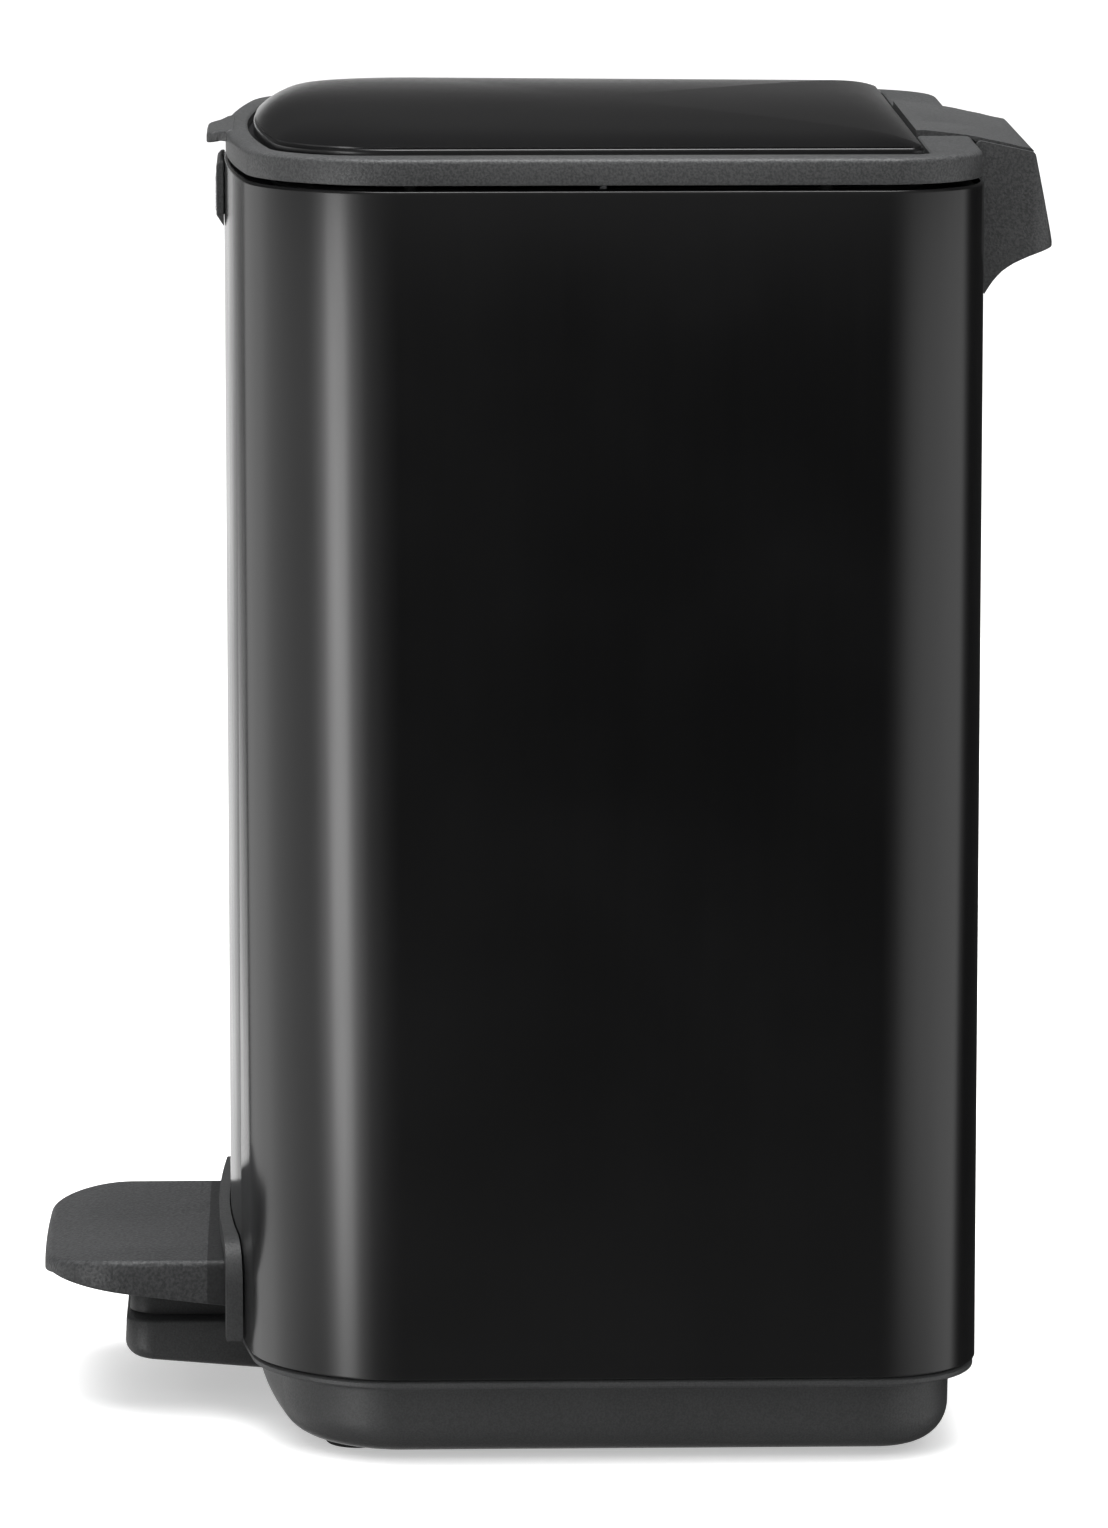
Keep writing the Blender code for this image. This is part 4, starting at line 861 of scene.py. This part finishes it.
def make_liner():
    """The plate under the lid, with a raised border and a shallow sunk field."""

    def plan(inset):
        front_radius = max(FRONT_RADIUS - LINER_GAP - inset, 3.0)
        rear_radius = max(LINER_REAR_RADIUS - inset, 3.0)
        front, rear = FRONT_SIDE + LINER_GAP + inset, LINER_HIGH[1] - inset
        return bowed_outline(LINER_HIGH[0] - inset, front, rear, front_radius, rear_radius, FRONT_BOW)

    low = LINER_LOW[2]
    rows = [(16.0, low + 0.9), (14.6, low + 0.75), (13.6, low + 0.2), (12.8, low), (1.2, low)]
    rows += [(0.5, low + 0.15), (0.1, low + 0.5), (0.0, low + 0.9), (0.0, LINER_HIGH[2])]
    liner = loft("lid_underplate", [level(plan(inset), z) for inset, z in rows], inner_black)
    return place(liner, "lid", "lid_liner")


def make_cover():
    """The raised cover from the inlay's rear edge to the hinge, with the lid's knuckles under it."""
    front, top, seat = COVER_LOW[1], COVER_HIGH[2], COVER_SEAT + FIT
    y, z = HINGE_Y, HINGE_Z
    side = [(front, seat), (127.2, seat), (131.0, 383.4), (139.5, 382.3), (y, 382.3), (y + 2.0, 381.4)]
    side += [(y + 2.4, 382.4), (y + 1.6, 383.1), (141.0, 383.8), (137.0, 384.8), (133.0, 385.6)]
    side += [(129.0, 386.5), (125.0, 387.2), (121.0, 387.7), (117.0, 388.15), (113.0, 388.6)]
    side += [(front, top - 0.15)]
    cover = prism_x("hinge_cap", side, -COVER_HALF_WIDTH, COVER_HALF_WIDTH, frame_grey)
    web = [(y - 2.2, z), (y + 1.6, z), (y + 1.6, 382.7), (y - 2.2, 383.0)]
    for x in (-27.0, 13.0):
        carve(cover, prism_x("web", web, x, x + KNUCKLE_LENGTH), "UNION")
        carve(cover, rod_x("knuckle", y, z, KNUCKLE_RADIUS, x, x + KNUCKLE_LENGTH), "UNION")
    carve(cover, rod_x("pin_bore", y, z, PIN_RADIUS + FIT, -60, 60))
    soften(cover, 0.8, segments=4)
    return place(cover, "lid", "hinge_cover")


# ---------------------------------------------------------------- carried-over nodes
def dress(names, finish, width=None):
    """Gives carried-over nodes their finish, and soft edges where a width is given."""
    for name in names:
        obj = frame["nodes"][name]
        obj.data.materials.clear()
        obj.data.materials.append(finish)
        if width:
            soften_node(name, width)


def dress_nodes():
    """The small inner parts, which keep the frame's own meshes."""
    dress(["lid_crank", "push_rod", "pedal_lever"], bare_steel, 0.35)
    dress(["bucket_bail", "hinge_pin", "pedal_axle", "damper_plunger"], bare_steel)
    screws = [f"{kind}_screw_{side}" for kind in ("handle", "bracket", "pedal") for side in ("left", "right")]
    dress(screws, bare_steel, 0.2)
    dress(["rod_guide_lower", "rod_guide_upper", "axle_bracket_left", "axle_bracket_right"], inner_black, 0.4)
    dress(["damper_cylinder"], inner_black, 0.3)
    bumpers = [f"lid_bumper_{end}_{side}" for end in ("front", "rear") for side in ("left", "right")]
    dress(bumpers, rubber, 0.2)


# ---------------------------------------------------------------- camera, light and floor
# Places are in metres here, apart from the floor's own sizes. TURN is about Z and TILT is downwards, from a
# view straight along -X, both in radians.
EYE = Vector((2.5241, -0.0675, 0.6104))
TURN, TILT = 0.0286, 0.1647
LENS, SENSOR = 197.64, 36.0
FARTHEST = 30.0

LAMP_PLACE = Vector((0.1, -0.1, 2.2))
LAMP_SIZE = 2.2
LAMP_POWER = 84.0
FLOOR_REACH, FLOOR_LOW, FLOOR_TOP = 20000.0, -5.0, -0.05

# The studio round the bin, as (angle, brightness): 0 is towards +X, -90 towards the pedal and 90 towards the
# handle.
STUDIO = (
    (-180, 1.6), (-168, 1.6), (-166, 0.02), (-161, 0.02), (-158, 0.5), (-142, 0.85), (-120, 1.1),
    (-105, 0.85), (-85, 0.65), (-70, 0.6), (-60, 1.6), (-55, 4.2), (-46, 4.2), (-40, 1.4), (-28, 0.38),
    (-12, 0.15), (-2, 0.06), (3, 0.01), (7, 0.03), (19, 0.18), (34, 0.56), (50, 0.78), (80, 0.9),
    (103, 0.85), (110, 0.2), (118, 0.03), (170, 0.03), (180, 1.6),
)
# How the studio's light changes with a direction's z (0 at the horizon, 1 straight up) or, for the ceiling,
# with its x. Each is (from, to, value at from, value at to). PANEL_FADE and PANEL_END are shares, and the
# others are brightnesses. PANEL_END is where the ceiling takes over from the panels.
PANEL_FADE = (0.45, 0.75, 1.0, 0.15)
PANEL_END = (-0.02, 0.06, 0.0, 1.0)
CEILING = (-0.10, 0.40, 0.06, 0.22)
CEILING_CAP = (0.935, 0.995, 0.0, 6.0)
FLOOR_SHEEN = (-0.33, -0.85, 0.0, 0.14)
FILL = (0.0, 1.0, 0.5, 1.1)


def make_camera():
    """A long lens on the bin's +X side, a little above it, looking slightly down."""
    ahead = Vector((-math.cos(TURN), math.sin(TURN), 0.0))
    up = Vector((0.0, 0.0, 1.0))
    right = ahead.cross(up)
    forward = ahead * math.cos(TILT) - up * math.sin(TILT)
    above = up * math.cos(TILT) + ahead * math.sin(TILT)
    camera = bpy.data.objects.new("camera", bpy.data.cameras.new("camera"))
    camera.data.sensor_width = SENSOR
    camera.data.lens = LENS
    camera.data.clip_end = FARTHEST
    turn = Matrix((right, above, -forward)).transposed().to_4x4()
    camera.matrix_world = Matrix.Translation(EYE) @ turn
    bpy.context.scene.collection.objects.link(camera)
    bpy.context.scene.camera = camera


def make_lamp():
    """A large soft lamp over the bin, which doesn't show in reflections."""
    light = bpy.data.lights.new("top_light", "AREA")
    light.shape = "RECTANGLE"
    light.size, light.size_y = LAMP_SIZE, LAMP_SIZE
    light.energy = LAMP_POWER
    lamp = bpy.data.objects.new("top_light", light)
    lamp.location = LAMP_PLACE
    lamp.rotation_euler = (-LAMP_PLACE).to_track_quat("-Z", "Y").to_euler()
    lamp.visible_glossy = False
    bpy.context.scene.collection.objects.link(lamp)


def make_world():
    """A white backdrop as seen and a soft fill on everything. As reflected, it is a dark studio with soft
    panels below the horizon, a dim ceiling with a bright cap overhead, and a little light from the floor."""
    world = bpy.data.worlds.new("studio")
    world.use_nodes = True
    tree = world.node_tree
    tree.nodes.clear()

    def add(kind, **values):
        node = tree.nodes.new(kind)
        for name, value in values.items():
            setattr(node, name, value)
        return node

    def feed(socket, value):
        if isinstance(value, (int, float)):
            socket.default_value = value
        else:
            tree.links.new(value, socket)

    def maths(operation, *values):
        node = add("ShaderNodeMath", operation=operation)
        for socket, value in zip(node.inputs, values):
            feed(socket, value)
        return node.outputs[0]

    def ramp(value, limits):
        node = add("ShaderNodeMapRange", interpolation_type="SMOOTHSTEP")
        for socket, number in zip(node.inputs, (value, *limits)):
            feed(socket, number)
        return node.outputs[0]

    def background(strength):
        node = add("ShaderNodeBackground")
        feed(node.inputs["Strength"], strength)
        return node.outputs[0]

    def mix(share, first, second):
        node = add("ShaderNodeMixShader")
        for socket, value in zip(node.inputs, (share, first, second)):
            feed(socket, value)
        return node.outputs[0]

    def panels_around(share):
        """The studio's brightness at a share of a full turn, starting from -X."""
        peak = max(brightness for _, brightness in STUDIO)
        node = add("ShaderNodeFloatCurve")
        feed(node.inputs["Value"], share)
        node.mapping.use_clip = False
        line = node.mapping.curves[0]
        while len(line.points) < len(STUDIO):
            line.points.new(0.5, 0.5)
        for point, (angle, brightness) in zip(line.points, STUDIO):
            point.location = (angle / 360.0 + 0.5, brightness / peak)
            point.handle_type = "VECTOR"
        node.mapping.update()
        return maths("MULTIPLY", node.outputs["Value"], peak)

    split = add("ShaderNodeSeparateXYZ")
    feed(split.inputs[0], add("ShaderNodeTexCoord").outputs["Generated"])
    x, y, z = split.outputs
    above = ramp(z, PANEL_END)
    panels = panels_around(maths("MULTIPLY_ADD", maths("ARCTAN2", y, x), 0.5 / math.pi, 0.5))
    panels = maths("MULTIPLY", panels, maths("SUBTRACT", 1.0, above))
    panels = maths("MULTIPLY", panels, ramp(maths("ABSOLUTE", z), PANEL_FADE))
    ceiling = maths("MULTIPLY", above, ramp(x, CEILING))
    room = maths("ADD", maths("ADD", panels, ceiling), ramp(z, FLOOR_SHEEN))
    room = maths("ADD", room, ramp(z, CEILING_CAP))

    rays = add("ShaderNodeLightPath").outputs
    unseen = mix(rays["Is Glossy Ray"], background(ramp(z, FILL)), background(room))
    backdrop = background(1.0)
    backdrop.node.inputs["Color"].default_value = (1.0, 1.0, 1.0, 1.0)
    feed(add("ShaderNodeOutputWorld").inputs[0], mix(rays["Is Camera Ray"], unseen, backdrop))
    bpy.context.scene.world = world


def make_floor():
    """A wide pale floor just under the feet."""
    reach = FLOOR_REACH
    corners = [(-reach, -reach), (reach, -reach), (reach, reach), (-reach, reach)]
    floor = slab("floor", corners, FLOOR_LOW, FLOOR_TOP)
    floor.data.materials.append(floor_paint("pale_floor"))
    floor.visible_glossy = False


def make_stage():
    """The camera, the light and the floor."""
    make_camera()
    make_world()
    make_floor()
    make_lamp()
    bpy.context.scene.view_settings.view_transform = "Standard"


make_shell()
make_base()
make_feet()
make_surround()
make_ring()
make_handle()
make_badge()
make_bucket()
make_pedal()
make_frame()
make_panel()
make_liner()
make_cover()
dress_nodes()
make_stage()
